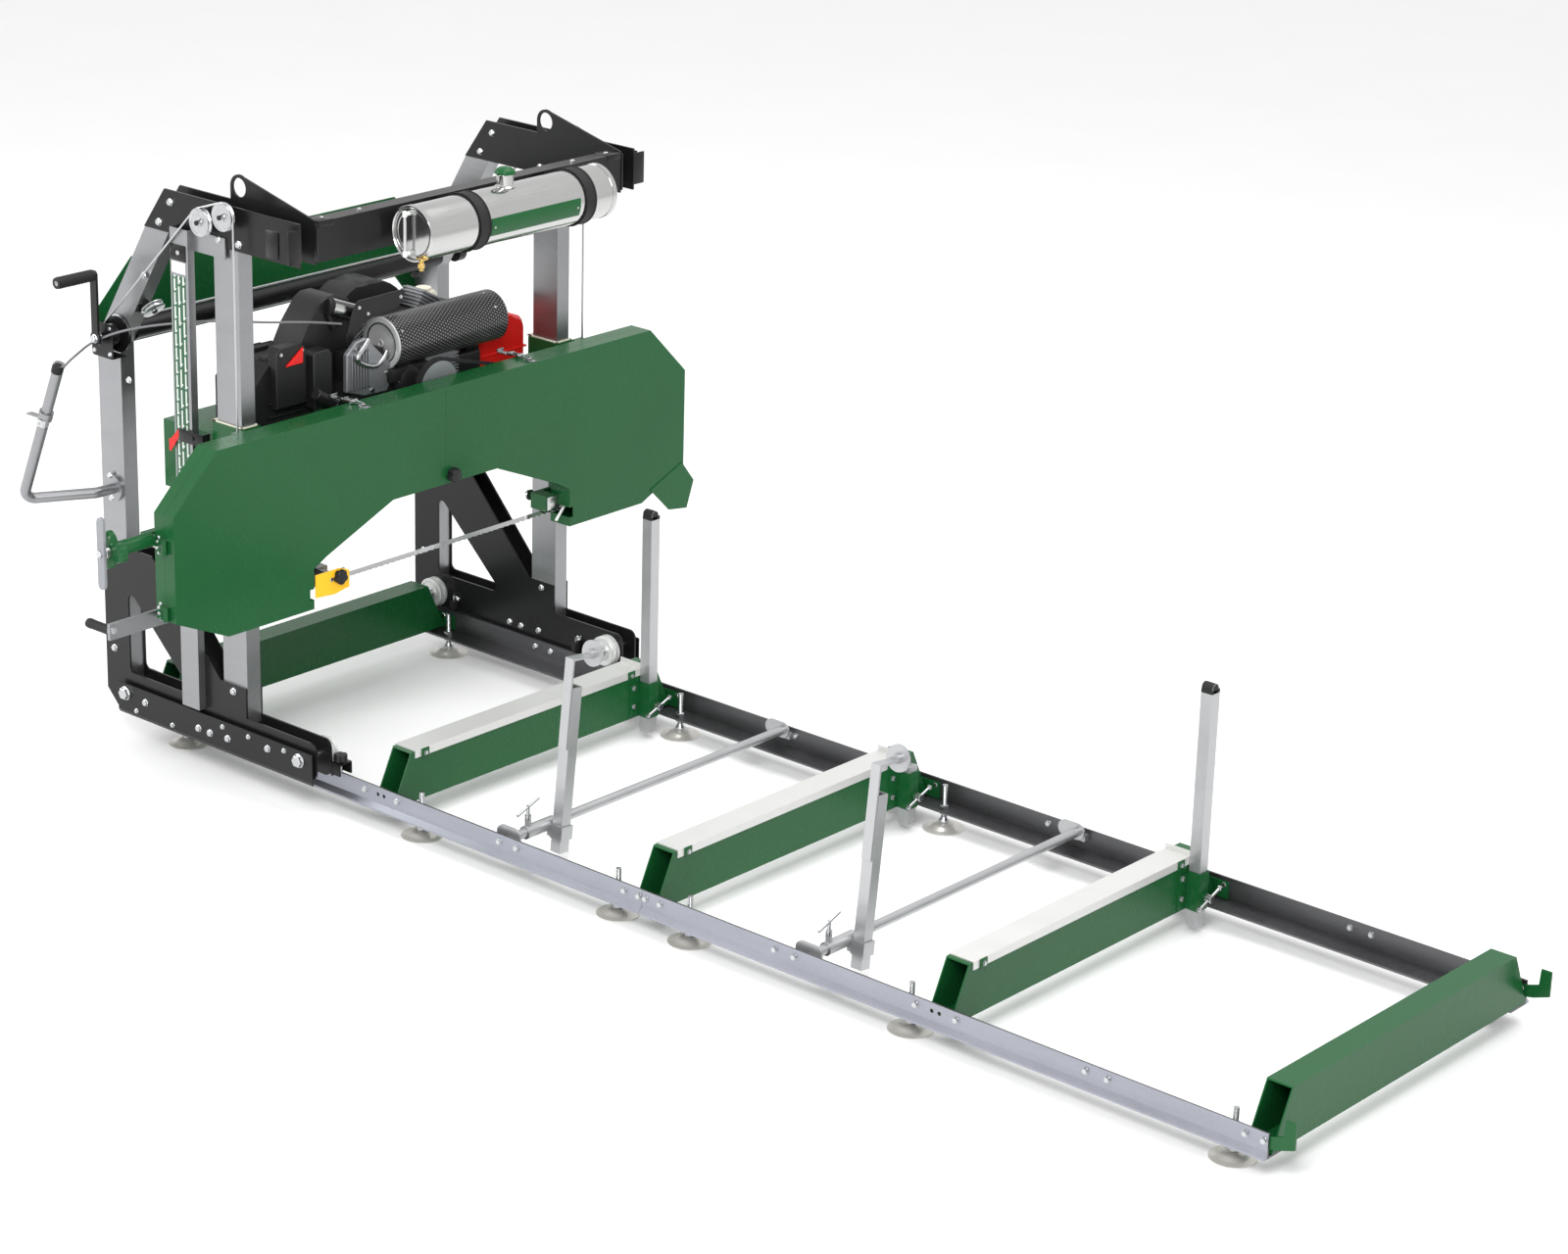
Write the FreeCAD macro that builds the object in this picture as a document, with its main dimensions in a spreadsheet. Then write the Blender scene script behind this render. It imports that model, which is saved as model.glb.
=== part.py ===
import FreeCAD
import Part
import Sketcher
import math
import os

# Portable band sawmill: a floor track with log bunks, a carriage on four wheels and a band head.
# X runs along the track to its free end, Y across it, Z up; the origin is the middle of the track on the floor.

SIZES = {
    # track
    "rail_length": 2000, "rail_joint_gap": 0.5, "rail_face": 585, "rail_wall": 6, "rail_top": 124,
    "rail_bottom": 56, "rail_flange": 75, "rail_toe": 13,
    "bunk_pitch_share": 0.5, "bunk_end_place": -32, "bunk_width": 75, "bunk_bottom": 68,
    "bunk_height": 150,
    "bunk_wall": 4, "bunk_end_slant": 71, "end_plate_half": 80, "end_plate_top": 112,
    "end_plate_bottom": 64,
    "cap_wall": 3, "cap_side": 20, "cap_near": -95, "cap_far": -145, "cap_lip": 18,
    "foot_line": -48, "foot_inner": 130, "foot_middle": -115, "foot_outer": -125, "foot_disc": 60,
    "foot_disc_thick": 3, "foot_dome": 38, "foot_dome_top": 20, "foot_dome_height": 15, "foot_screw": 8,
    "foot_screw_top": 134, "foot_nut": 13.8, "foot_nut_height": 12, "screw_clearance": 0.5,
    "anchor_offset": 47, "anchor_hole": 5.5,
    "bolt_line": 102, "bolt_head": 9.8, "bolt_head_height": 6.4, "bolt_spread": 65, "bolt_close": 12,
    "open_hole": 5.5, "pipe_bolt_spread": 33,
    "hook_foot": 30, "hook_reach": 76, "hook_top": 171, "hook_throat": 126, "hook_drop": 80,
    "hook_jaw": 43,
    # log posts in their sockets
    "post_side": 36, "post_wall": 3, "post_line": -130, "post_top": 692, "post_bottom": 22,
    "short_post_top": 195, "socket_wall": 3, "socket_bottom": 70, "socket_height": 110,
    "slide_clearance": 0.4,
    "socket_wing": 42, "roller_radius": 14, "clamp_height": 110, "clamp_screw": 5,
    "clamp_boss": 9, "clamp_boss_length": 16, "clamp_stand": 14, "clamp_bar": 4, "clamp_bar_length": 88,
    "clamp_bar_tilt": 35, "running_clearance": 0.1, "touch_gap": 0.3,
    # cross pipes and log dogs
    "pipe_offset": 82, "pipe_radius": 13.5, "pipe_line": 118, "pipe_end": -29,
    "pipe_wall": 2.6, "ear_thick": 6, "ear_reach": 65, "ear_radius": 24,
    "sleeve_near": 65, "sleeve_far": 175, "sleeve_wall": 5, "collar_wall": 4, "collar_bottom": 82,
    "collar_top": 122, "collar_flange": 3, "dog_side": 35, "dog_wall": 3, "dog_foot": 45, "dog_head": 522,
    "dog_foot_line": 163, "dog_lean": 6, "dog_hook_top": 605, "dog_bar": 6, "dog_bar_width": 30,
    "dog_bar_foot": 300, "dog_arm": 82, "pad_radius": 37, "pad_thick": 7, "pad_hub": 14,
    # carriage side frames
    "side_inner": 13, "side_plate": 6, "side_outer": 62, "rear_edge": -88, "frame_front": 815,
    "column_top": 614, "gusset_edge": 525, "gusset_back": 416, "gusset_top": 90,
    "base_top": 222, "base_bottom": 110, "base_corner": 45, "nose_radius": 50, "window_left": 17,
    "window_right": 300, "window_top": -119, "window_bottom": 6, "window_corner": 18,
    "slope_top": -36, "slope_start": 172,
    "front_post_back": 425, "front_post_depth": 100, "post_tube_wall": 4, "front_post_top": 103,
    "post_foot": 200,
    "rear_post_depth": 100, "rear_post_bend": 1225, "rear_post_top": 3, "rear_post_shift": 228,
    "axle_front": 763, "axle_rear": 13, "axle_line": 166, "axle_radius": 10, "axle_head": 15,
    "axle_head_height": 12, "wheel_line": -3, "wheel_width": 27, "wheel_rim": 47, "wheel_groove": 41.7,
    "wheel_groove_width": 12,
    "guard_plate": 4, "guard_back": -22, "guard_top": 195, "guard_bottom": 100,
    # top plates, cross beam, tank
    "top_bottom": 1597, "top_crest": 123, "top_back": 139, "top_shoulder": 229, "top_front": 781,
    "eye_place": 478, "eye_line": 38, "eye_radius": 27, "eye_rim": 36,
    "beam_back": 735, "beam_front": 785, "beam_bottom": 6, "beam_top": -4, "beam_wall": 4,
    "tank_place": 885, "tank_line": 61, "tank_radius": 78, "tank_near": -335, "tank_far": 385,
    "tank_strap": 4, "tank_wall": 2, "tank_strap_width": 40, "tank_strap_near": -137,
    "tank_strap_far": 285,
    "tank_neck_place": 18, "tank_neck": 24, "tank_neck_rise": 32, "tank_cap": 29, "tank_cap_height": 22,
    "pulley_line": 30, "pulley_radius": 40, "pulley_width": 18, "pulley_groove": 5,
    "pulley_back": 415, "pulley_back_line": -56, "pulley_front": 509, "pulley_front_line": -24,
    "pulley_pin": 7,
    # scale post, handle, crank, guard
    "scale_back": 276, "scale_front": 350, "scale_depth": 24, "scale_wall": 2.5, "scale_bottom": 205,
    "scale_bracket_front": 484, "scale_bracket_bottom": -30, "scale_bracket_top": 29,
    "handle_place": -30, "handle_line": 786, "handle_flange": 38, "handle_flange_thick": 10,
    "handle_pipe": 16, "handle_out": 255, "handle_back": 102, "handle_run": 188, "handle_rise": 442,
    "handle_bend": 60, "lever_share": 0.6, "lever_clamp": 21, "lever_clamp_length": 26,
    "lever_length": 70,
    "crank_place": 8, "crank_line": 34, "crank_shaft": 12, "crank_out": 82, "crank_arm": 185,
    "crank_arm_width": 26, "crank_arm_thick": 8, "crank_hub": 20, "crank_grip": 16,
    "crank_grip_length": 130,
    "cross_tube": 30, "drum_radius": 32, "drum_half": 14, "cross_tube_wall": 3, "disc_radius": 55,
    "disc_thick": 5,
    "bearing_depth": 26,
    "rear_sheet": 3, "rear_sheet_side": -10, "rear_sheet_bottom": -115, "rear_sheet_arch": 78,
    "rear_sheet_top": 330, "rear_sheet_chamfer": 130,
    "knob_radius": 20, "knob_height": 26, "lock_plate": 5, "lock_length": 35,
    "lock_top": 150,
    # head
    "cover_stand": 25.4, "cover_depth": 40, "cover_wall": 2, "cover_top": 20.1,
    "cover_shoulder": 118, "cover_side": 36.6, "cover_shoulder_line": 103.5, "cover_bottom": -44.1,
    "cover_foot": -230, "cover_foot_top": 74.9, "cover_slant": -280, "cover_slant_line": -139.5,
    "cover_arch": -31.5,
    "flap_in": 126, "flap_low": 212, "flap_tip": 294, "flap_out": 324, "flap_drop": 61,
    "flap_rise": 34, "flap_inset": 9, "flap_thick": 3,
    "cover_lower_corner": 90, "cover_corner_drop": 39.9, "seam_gap": 0.6,
    "head_beam_depth": 24, "head_beam_bottom": -26.5, "head_beam_top": 58.5,
    "head_beam_end": 154, "head_beam_wall": 4,
    "sleeve_low": -166.5, "sleeve_high": 245.5, "sleeve_plate": 4,
    "sleeve_liner": 6, "cable_lug": 12, "cable_radius": 3, "stand_half": 14, "gib_depth": 20,
    "idler_half": 20,
    "guide_clamp_out": -800, "guide_clamp_length": 90, "liner_height": 40, "liner_clearance": 0.6,
    "engine_plate_back": 120,
    "engine_plate_line": 168.5, "engine_plate_thick": 6,
    "wheel_place": 750, "wheel_height": 841.5, "band_wheel": 241.4, "band_wheel_width": 26,
    "band_web": 8, "band_hub": 34, "band_spoke_hole": 42, "band_shaft": 15,
    "blade_inset": 6, "blade_width": 32, "blade_thick": 1.1, "blade_tooth": 6, "blade_pitch": 22.2,
    "belt_width": 16, "belt_thick": 9, "driven_pulley": 120, "engine_pulley_place": 60,
    "engine_pulley_line": 233.5, "engine_pulley_radius": 80, "belt_gap": 3,
    "tension_place": 572, "tension_travel": 20,
    "tension_line": 23.5, "tension_tube": 21, "tension_out": 188.6, "tension_screw": 11,
    "tension_hub": 24, "tension_hub_length": 34, "tension_bar": 14, "tension_bar_half": 103,
    "guide_back": 554, "guide_thick": 10, "guide_low": 4.9, "guide_high": 51.9, "guide_out": 185.6,
    "guide_grip": 13, "guide_grip_length": 95, "guide_shoe_in": 424, "guide_bracket": 40,
    "guide_roller": 16, "guide_roller_gap": 3,
    "shield_in": 385, "shield_out": 510, "shield_place": 660, "shield_thick": 3, "shield_low": -12.1,
    "shield_high": 51.9, "shield_knob": 15.5, "shield_knob_length": 18,
    "far_guide_in": 465, "far_guide_out": 560,
    "knob_line": -6.5, "cover_knob": 22, "cover_knob_length": 26,
    "latch_near": -300, "latch_far": 370, "latch_length": 110, "latch_width": 26, "latch_height": 14,
    "hinge_upper": 13.5, "hinge_lower": 22.9, "hinge_radius": 8, "hinge_half": 20,
    # power unit on the head
    "engine_back": 160, "engine_front": 480, "engine_near": -190, "engine_far": 330, "engine_top": 276.5,
    "hood_front": 360,
    "hood_top": 398.5, "block_back": 400, "block_far": -60,
    "shroud_radius": 130, "shroud_top": 488.5, "shroud_depth": 120, "engine_boss": 50,
    "head_half": 38, "head_rise": 90, "head_lean": 30, "canister_radius": 22,
    "canister_length": 90, "muffler_cap": 18, "muffler_place": 445, "muffler_line": 356.5,
    "muffler_radius": 76, "cradle_half": 30, "cradle_inset": 70, "muffler_near": -45,
    "muffler_far": 400, "muffler_wall": 2,
    "tank2_back": 280, "tank2_front": 364, "tank2_near": 350, "tank2_far": 555,
    "tank2_top": 308.5, "tank_round": 45, "filler_radius": 24, "filler_height": 16,
    "battery_back": 240, "battery_front": 410,
    "battery_near": -500, "battery_far": -282, "battery_top": 368.5,
    "fin_thick": 3, "fin_reach": 9, "screen_radius": 88, "screen_depth": 8,
    "battery_slope": 60, "battery_lid": 5, "battery_lid_height": 22,
    "cut_over": 5,
}

# sizes that hold the step from another size, listed under the size that they are measured from
MEASURED_FROM = {
    "rail_length": ("bunk_end_place", "foot_outer"),
    "bunk_pitch": ("foot_middle",),
    "rail_face": ("foot_line", "side_inner", "pipe_end", "wheel_line", "cap_near", "cap_far",
        "post_line"),
    "side_inner": ("side_outer",),
    "side_outer": ("pulley_line", "crank_out", "rear_sheet_side"),
    "near_rail": ("sleeve_near", "sleeve_far", "dog_foot_line"),
    "rail_end": ("rear_edge", "frame_front", "gusset_edge", "gusset_back", "window_left",
        "window_right", "slope_start", "front_post_back", "axle_front", "axle_rear", "guard_back",
        "top_back", "top_shoulder", "top_front", "eye_place", "beam_back", "beam_front", "tank_place",
        "pulley_back", "pulley_front", "scale_back", "scale_front", "scale_bracket_front",
        "handle_place", "crank_place", "engine_plate_back", "tension_place", "guide_back", "shield_place", "engine_back", "engine_front",
        "hood_front", "block_back", "muffler_place", "tank2_back", "tank2_front", "battery_back",
        "battery_front"),
    "base_top": ("gusset_top", "window_bottom"),
    "column_top": ("slope_top", "window_top"),
    "top_bottom": ("top_crest", "front_post_top", "rear_post_top", "beam_bottom", "tank_line",
        "scale_bracket_bottom", "scale_bracket_top"),
    "top_crest": ("eye_line", "pulley_back_line", "pulley_front_line", "beam_top"),
    "rear_post_bend": ("crank_line", "rear_sheet_bottom"),
    "rear_sheet_bottom": ("rear_sheet_arch", "rear_sheet_top"),
    "wheel_height": ("cover_shoulder_line", "cover_slant_line", "cover_arch", "head_beam_bottom",
        "head_beam_top", "sleeve_low", "sleeve_high", "engine_plate_line", "engine_pulley_line",
        "tension_line", "knob_line", "hinge_upper", "engine_top", "hood_top", "shroud_top",
        "muffler_line", "tank2_top", "battery_top"),
    "wheel_side": ("cover_side", "tension_out", "guide_out"),
    "wheel_place": ("head_beam_end", "cover_shoulder", "cover_foot", "cover_slant",
        "cover_lower_corner", "flap_in", "flap_low", "flap_tip", "flap_out"),
    "wheel_crown": ("cover_top",),
    "wheel_foot": ("cover_bottom", "cover_corner_drop", "cover_foot_top", "hinge_lower", "guide_low",
        "guide_high", "shield_low", "shield_high"),
}

doc = FreeCAD.newDocument("band_sawmill")
sheet = doc.addObject("Spreadsheet::Sheet", "Sizes")
for row, (alias, number) in enumerate(SIZES.items(), start=1):
    sheet.set(f"A{row}", alias)
    sheet.set(f"B{row}", str(number))
    sheet.setAlias(f"B{row}", alias)
doc.recompute()


class Size:
    """A size that carries the sheet formula it comes from together with its value."""

    def __init__(self, text, value):
        self.text = text
        self.value = float(value)

    def __add__(self, other):
        other = as_size(other)
        return Size(f"({self.text} + {other.text})", self.value + other.value)

    def __sub__(self, other):
        other = as_size(other)
        return Size(f"({self.text} - {other.text})", self.value - other.value)

    def __mul__(self, share):
        share = as_size(share)
        return Size(f"({self.text} * {share.text})", self.value * share.value)

    def __truediv__(self, share):
        share = as_size(share)
        return Size(f"({self.text} / {share.text})", self.value / share.value)

    def __neg__(self):
        return Size(f"(0 - {self.text})", -self.value)

    def __radd__(self, other):
        return as_size(other) + self

    def __rsub__(self, other):
        return as_size(other) - self

    __rmul__ = __mul__

    def __float__(self):
        return self.value


def as_size(value):
    """A Size from a Size or from a plain share."""
    return value if isinstance(value, Size) else Size(repr(float(value)), value)


class Named:
    """The sheet's sizes as attributes."""


S = Named()
for alias in SIZES:
    setattr(S, alias, Size(f"Sizes.{alias}", sheet.get(alias)))
S.rail_end = -S.rail_length
S.near_rail = -S.rail_face
S.bunk_pitch = S.rail_length * S.bunk_pitch_share
S.pipe_first = -S.bunk_pitch * S.bunk_pitch_share
S.pipe_second = S.bunk_pitch * S.bunk_pitch_share + S.pipe_offset
S.wheel_side = S.wheel_place + S.band_wheel
S.wheel_crown = S.wheel_height + S.band_wheel
S.wheel_foot = S.wheel_height - S.band_wheel
for base, names in MEASURED_FROM.items():
    for name in names:
        setattr(S, name, getattr(S, base) + getattr(S, name))
S.post_front = S.front_post_back + S.front_post_depth
S.sleeve_front = S.post_front + S.liner_clearance + S.sleeve_liner + S.sleeve_plate
S.cover_back = S.sleeve_front + S.head_beam_depth + S.cover_stand
S.cover_seam = S.cover_back + S.cover_depth
S.cover_front = S.cover_seam + S.cover_depth
S.blade_back = S.cover_back + S.blade_inset
S.socket_top = S.socket_bottom + S.socket_height
S.tank_neck_top = S.tank_line + S.tank_radius + S.tank_neck_rise

SIDES = (-1, 1)
PARTS = []
PLANES = {"x": "YZ_Plane", "y": "XZ_Plane", "z": "XY_Plane"}
NORMALS = {"x": (1, 0, 0), "y": (0, 1, 0), "z": (0, 0, 1)}


def bind(thing, **values):
    """Tie each named property of a document object to its formula."""
    for name, value in values.items():
        thing.setExpression(name.replace("__", "."), as_size(value).text)
    return thing


def place(thing, x, y, z):
    """Tie the base point of an object's placement."""
    return bind(thing, Placement__Base__x=x, Placement__Base__y=y, Placement__Base__z=z)


def box(x, y, z):
    """A box between pairs of sizes along X, Y and Z."""
    solid = doc.addObject("Part::Box", "block")
    bind(solid, Length=as_size(x[1]) - x[0], Width=as_size(y[1]) - y[0], Height=as_size(z[1]) - z[0])
    return place(solid, x[0], y[0], z[0])


def rod(axis, radius, x, y, z, sides=None):
    """A cylinder, or a prism with flat sides, along the axis whose argument is a pair."""
    solid = doc.addObject("Part::Prism" if sides else "Part::Cylinder", "rod")
    spans = {"x": x, "y": y, "z": z}
    start, end = spans[axis]
    spans[axis] = start
    if sides:
        solid.Polygon = sides
        bind(solid, Circumradius=radius)
    else:
        bind(solid, Radius=radius)
    bind(solid, Height=as_size(end) - start)
    solid.Placement = FreeCAD.Placement(
        FreeCAD.Vector(), FreeCAD.Rotation(FreeCAD.Vector(0, 0, 1), FreeCAD.Vector(*NORMALS[axis])))
    return place(solid, spans["x"], spans["y"], spans["z"])


def cone(axis, radius, top_radius, x, y, z):
    """A cone along the axis whose argument is a pair."""
    solid = doc.addObject("Part::Cone", "cone")
    spans = {"x": x, "y": y, "z": z}
    start, end = spans[axis]
    spans[axis] = start
    bind(solid, Radius1=radius, Radius2=top_radius, Height=as_size(end) - start)
    solid.Placement = FreeCAD.Placement(
        FreeCAD.Vector(), FreeCAD.Rotation(FreeCAD.Vector(0, 0, 1), FreeCAD.Vector(*NORMALS[axis])))
    return place(solid, spans["x"], spans["y"], spans["z"])


def fuse(*solids):
    """One solid from several."""
    result = doc.addObject("Part::MultiFuse", "joined")
    result.Shapes = list(solids)
    return result


def cut(base, *tools):
    """A solid less its tools."""
    result = doc.addObject("Part::Cut", "cut")
    result.Base = base
    result.Tool = tools[0] if len(tools) == 1 else group(*tools)
    return result


def group(*solids):
    """Separate solids kept side by side."""
    result = doc.addObject("Part::Compound", "group")
    result.Links = list(solids)
    return result


def tube(axis, radius, bore, x, y, z):
    """A round tube along one axis."""
    spans = {"x": x, "y": y, "z": z}
    start, end = spans[axis]
    longer = dict(spans)
    longer[axis] = (as_size(start) - S.cut_over, as_size(end) + S.cut_over)
    return cut(rod(axis, radius, **spans), rod(axis, bore, **longer))


def box_tube(axis, wall, x, y, z):
    """A rectangular tube along one axis."""
    spans = {"x": x, "y": y, "z": z}
    inner = {}
    for name, (start, end) in spans.items():
        step = -S.cut_over if name == axis else wall
        inner[name] = (as_size(start) + step, as_size(end) - step)
    return cut(box(**spans), box(**inner))


def plate(axis, start, end, points, fillets=(), radius=None):
    """A flat body with a sketched outline, padded along an axis from start to end; the numbered
    corners in fillets are rounded by radius."""
    body = doc.addObject("PartDesign::Body", "plate")
    sketch = body.newObject("Sketcher::SketchObject", "outline")
    sketch.AttachmentSupport = [(origin_plane(body, axis), "")]
    sketch.MapMode = "FlatFace"
    count = len(points)
    corners = [FreeCAD.Vector(float(as_size(a)), float(as_size(b)), 0) for a, b in points]
    sketch.addGeometry([Part.LineSegment(corners[i], corners[(i + 1) % count]) for i in range(count)], False)
    rules = [Sketcher.Constraint("Coincident", i, 2, (i + 1) % count, 1) for i in range(count)]
    for i, corner in enumerate(corners):
        rules.append(Sketcher.Constraint("DistanceX", -1, 1, i, 1, corner.x))
        rules.append(Sketcher.Constraint("DistanceY", -1, 1, i, 1, corner.y))
    sketch.addConstraint(rules)
    for i, (across, up) in enumerate(points):
        sketch.setExpression(f"Constraints[{count + i * 2}]", as_size(across).text)
        sketch.setExpression(f"Constraints[{count + i * 2 + 1}]", as_size(up).text)
    pad = body.newObject("PartDesign::Pad", "pad")
    pad.Profile = sketch
    pad.Reversed = axis == "y"
    bind(pad, Length=as_size(end) - start)
    bind(body, **{f"Placement__Base__{axis}": start})
    if fillets:
        doc.recompute()
        chosen = []
        for number in fillets:
            spot = corners[number]
            for index, edge in enumerate(pad.Shape.Edges, start=1):
                ends = [flat(axis, vertex.Point) for vertex in edge.Vertexes]
                if all(end_spot.distanceToPoint(spot) < float(S.touch_gap) for end_spot in ends):
                    chosen.append(f"Edge{index}")
        fillet = body.newObject("PartDesign::Fillet", "rounding")
        fillet.Base = (pad, chosen)
        bind(fillet, Radius=radius)
    return body


def origin_plane(body, axis):
    """The body's own origin plane square to an axis."""
    return [item for item in body.Origin.OriginFeatures if item.Role == PLANES[axis]][0]


def flat(axis, point):
    """A point as its sketch sees it."""
    pairs = {"x": (point.y, point.z), "y": (point.x, point.z), "z": (point.x, point.y)}
    return FreeCAD.Vector(*pairs[axis], 0)


def mirrored(solid):
    """The same solid on the other side of the machine's middle plane."""
    result = doc.addObject("Part::Mirroring", "mirror")
    result.Source = solid
    result.Normal = FreeCAD.Vector(0, 1, 0)
    return result


def turned(solid, axis, degrees, x, y, z):
    """A solid built about the origin, turned about an axis and then placed."""
    result = doc.addObject("Part::Compound", "turned")
    result.Links = [solid]
    result.Placement = FreeCAD.Placement(
        FreeCAD.Vector(), FreeCAD.Rotation(FreeCAD.Vector(*NORMALS[axis]), float(as_size(degrees))))
    bind(result, Placement__Rotation__Angle=degrees)
    return place(result, x, y, z)


def part(name, *solids):
    """Name a sub-part of the machine; several solids become one node of separate pieces."""
    solid = solids[0] if len(solids) == 1 else group(*solids)
    solid.Label = name
    PARTS.append(solid)
    return solid


def shaped(name, shape):
    """A sub-part whose form is swept or wound."""
    feature = doc.addObject("Part::Feature", name)
    feature.Shape = shape
    feature.Placement = FreeCAD.Placement()
    feature.Label = name
    PARTS.append(feature)
    return feature


def span(centre, half):
    """The pair of sizes around a centre."""
    centre = as_size(centre)
    return centre - half, centre + half


# the track

def track():
    """Angle rails, bunks with their end plates and caps, feet and bolts."""
    inner = S.rail_face - S.rail_wall
    flange_top = S.rail_bottom + S.rail_wall
    profile = [
        (inner + S.rail_toe + S.rail_wall - S.rail_flange - S.rail_toe, S.rail_bottom),
        (S.rail_face + S.rail_toe, S.rail_bottom), (S.rail_face + S.rail_toe, flange_top),
        (S.rail_face, flange_top + S.rail_toe), (S.rail_face, S.rail_top), (inner, S.rail_top),
        (inner, flange_top), (S.rail_face - S.rail_flange, flange_top)]
    foot_places = [side * spot for spot in (S.foot_inner, S.foot_middle, S.foot_outer) for side in SIDES]
    web_bolts = []
    for bunk in (-1, 0, 1):
        for side in SIDES:
            web_bolts.append(S.bunk_pitch * bunk + S.bolt_spread * side)
    for side in SIDES:
        web_bolts.append(S.bolt_close * side)
        web_bolts.append((S.rail_length - S.bolt_close) * side)
        web_bolts.append((S.rail_length - S.bolt_spread) * side)
        web_bolts.append(S.pipe_first + S.pipe_bolt_spread * side)
        web_bolts.append(-S.pipe_first + S.pipe_bolt_spread * side)
    lengths = []
    for side in SIDES:
        span_x = sorted([S.rail_joint_gap * side, S.rail_length * side], key=float)
        blank = plate("x", *span_x, profile)
        tools = []
        for spot in foot_places:
            if spot.value * side > 0:
                tools.append(rod("z", S.foot_screw + S.screw_clearance, spot, S.foot_line,
                                 (S.rail_bottom - S.cut_over, flange_top + S.cut_over)))
        for step in SIDES:
            tools.append(rod("y", S.open_hole, S.bunk_pitch * side + S.bolt_close * step,
                             (inner - S.cut_over, S.rail_face + S.cut_over), S.bolt_line))
        lengths.append(cut(blank, *tools))
    part("track_rails", *lengths, *[mirrored(length) for length in lengths])

    top = S.bunk_bottom + S.bunk_height
    end = inner - S.rail_wall
    bunks = []
    plates = []
    for centre in (-S.bunk_end_place, -S.bunk_pitch, as_size(0), S.bunk_pitch, S.bunk_end_place):
        across = span(centre, S.bunk_width * 0.5)
        blank = plate("x", *across, [
            (-end, S.bunk_bottom), (end, S.bunk_bottom), (end - S.bunk_end_slant, top),
            (S.bunk_end_slant - end, top)])
        bore = box((across[0] + S.bunk_wall, across[1] - S.bunk_wall), (-S.rail_face, S.rail_face),
                   (S.bunk_bottom + S.bunk_wall, top - S.bunk_wall))
        bunks.append(cut(blank, bore))
        reach = span(centre, S.end_plate_half)
        if abs(centre.value) > S.bunk_pitch.value:
            outer = (S.rail_length - S.bolt_close * 0.5) * (1 if centre.value > 0 else -1)
            reach = (reach[0], outer) if centre.value > 0 else (outer, reach[1])
        for side in SIDES:
            depth = sorted([end * side, inner * side], key=float)
            plates.append(box(reach, depth, (S.end_plate_bottom, S.end_plate_top)))

    caps = []
    for bunk in (-1, 0, 1):
        half = S.bunk_width * 0.5
        wide = half + S.cap_wall
        middle = S.bunk_pitch * bunk
        caps.append(fuse(
            plate("y", -S.cap_near, S.cap_far, [
                (middle - wide, top - S.cap_side), (middle - half, top - S.cap_side), (middle - half, top),
                (middle + half, top), (middle + half, top - S.cap_side), (middle + wide, top - S.cap_side),
                (middle + wide, top + S.cap_wall), (middle - wide, top + S.cap_wall)]),
            box(span(middle, wide), (S.cap_far - S.cap_wall, S.cap_far), (top, top + S.cap_lip))))
    part("bunk_caps", *caps)

    feet = []
    dome_top = S.foot_disc_thick + S.foot_dome_height
    for spot in foot_places:
        for side in SIDES:
            line = S.foot_line * side
            foot = fuse(
                rod("z", S.foot_disc, spot, line, (0, S.foot_disc_thick)),
                cone("z", S.foot_dome, S.foot_dome_top, spot, line, (S.foot_disc_thick, dome_top)),
                rod("z", S.foot_screw, spot, line, (S.foot_disc_thick, S.foot_screw_top)),
                rod("z", S.foot_nut, spot, line, (S.rail_bottom - S.foot_nut_height, S.rail_bottom), 6),
                rod("z", S.foot_nut, spot, line, (flange_top, flange_top + S.foot_nut_height), 6))
            if abs(spot.value) == S.foot_outer.value:
                outward = S.anchor_offset * (1 if spot.value > 0 else -1)
                foot = cut(foot, rod("z", S.anchor_hole, spot + outward, line,
                                     (-S.cut_over, S.foot_disc_thick + S.cut_over)))
            feet.append(foot)
    part("leveling_feet", *feet)

    heads = []
    for spot in web_bolts:
        for side in SIDES:
            depth = sorted([S.rail_face * side, (S.rail_face + S.bolt_head_height) * side], key=float)
            heads.append(rod("y", S.bolt_head, spot, depth, S.bolt_line, 6))
    part("track_bolts", *heads)

    start = S.rail_length - S.bolt_close * 0.5
    heel = start + S.hook_foot
    hooks = []
    for side in SIDES:
        depth = sorted([end * side, inner * side], key=float)
        hooks.append(plate("y", *depth, [
            (start, S.hook_drop), (heel, S.hook_drop + S.rail_wall), (start + S.hook_reach, S.bolt_line),
            (start + S.hook_reach, S.hook_top), (start + S.hook_reach - S.hook_foot, S.hook_top),
            (start + S.hook_jaw, S.hook_throat), (start, S.end_plate_top)]))
    part("log_bunks", *bunks, *plates, *hooks)


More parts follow.
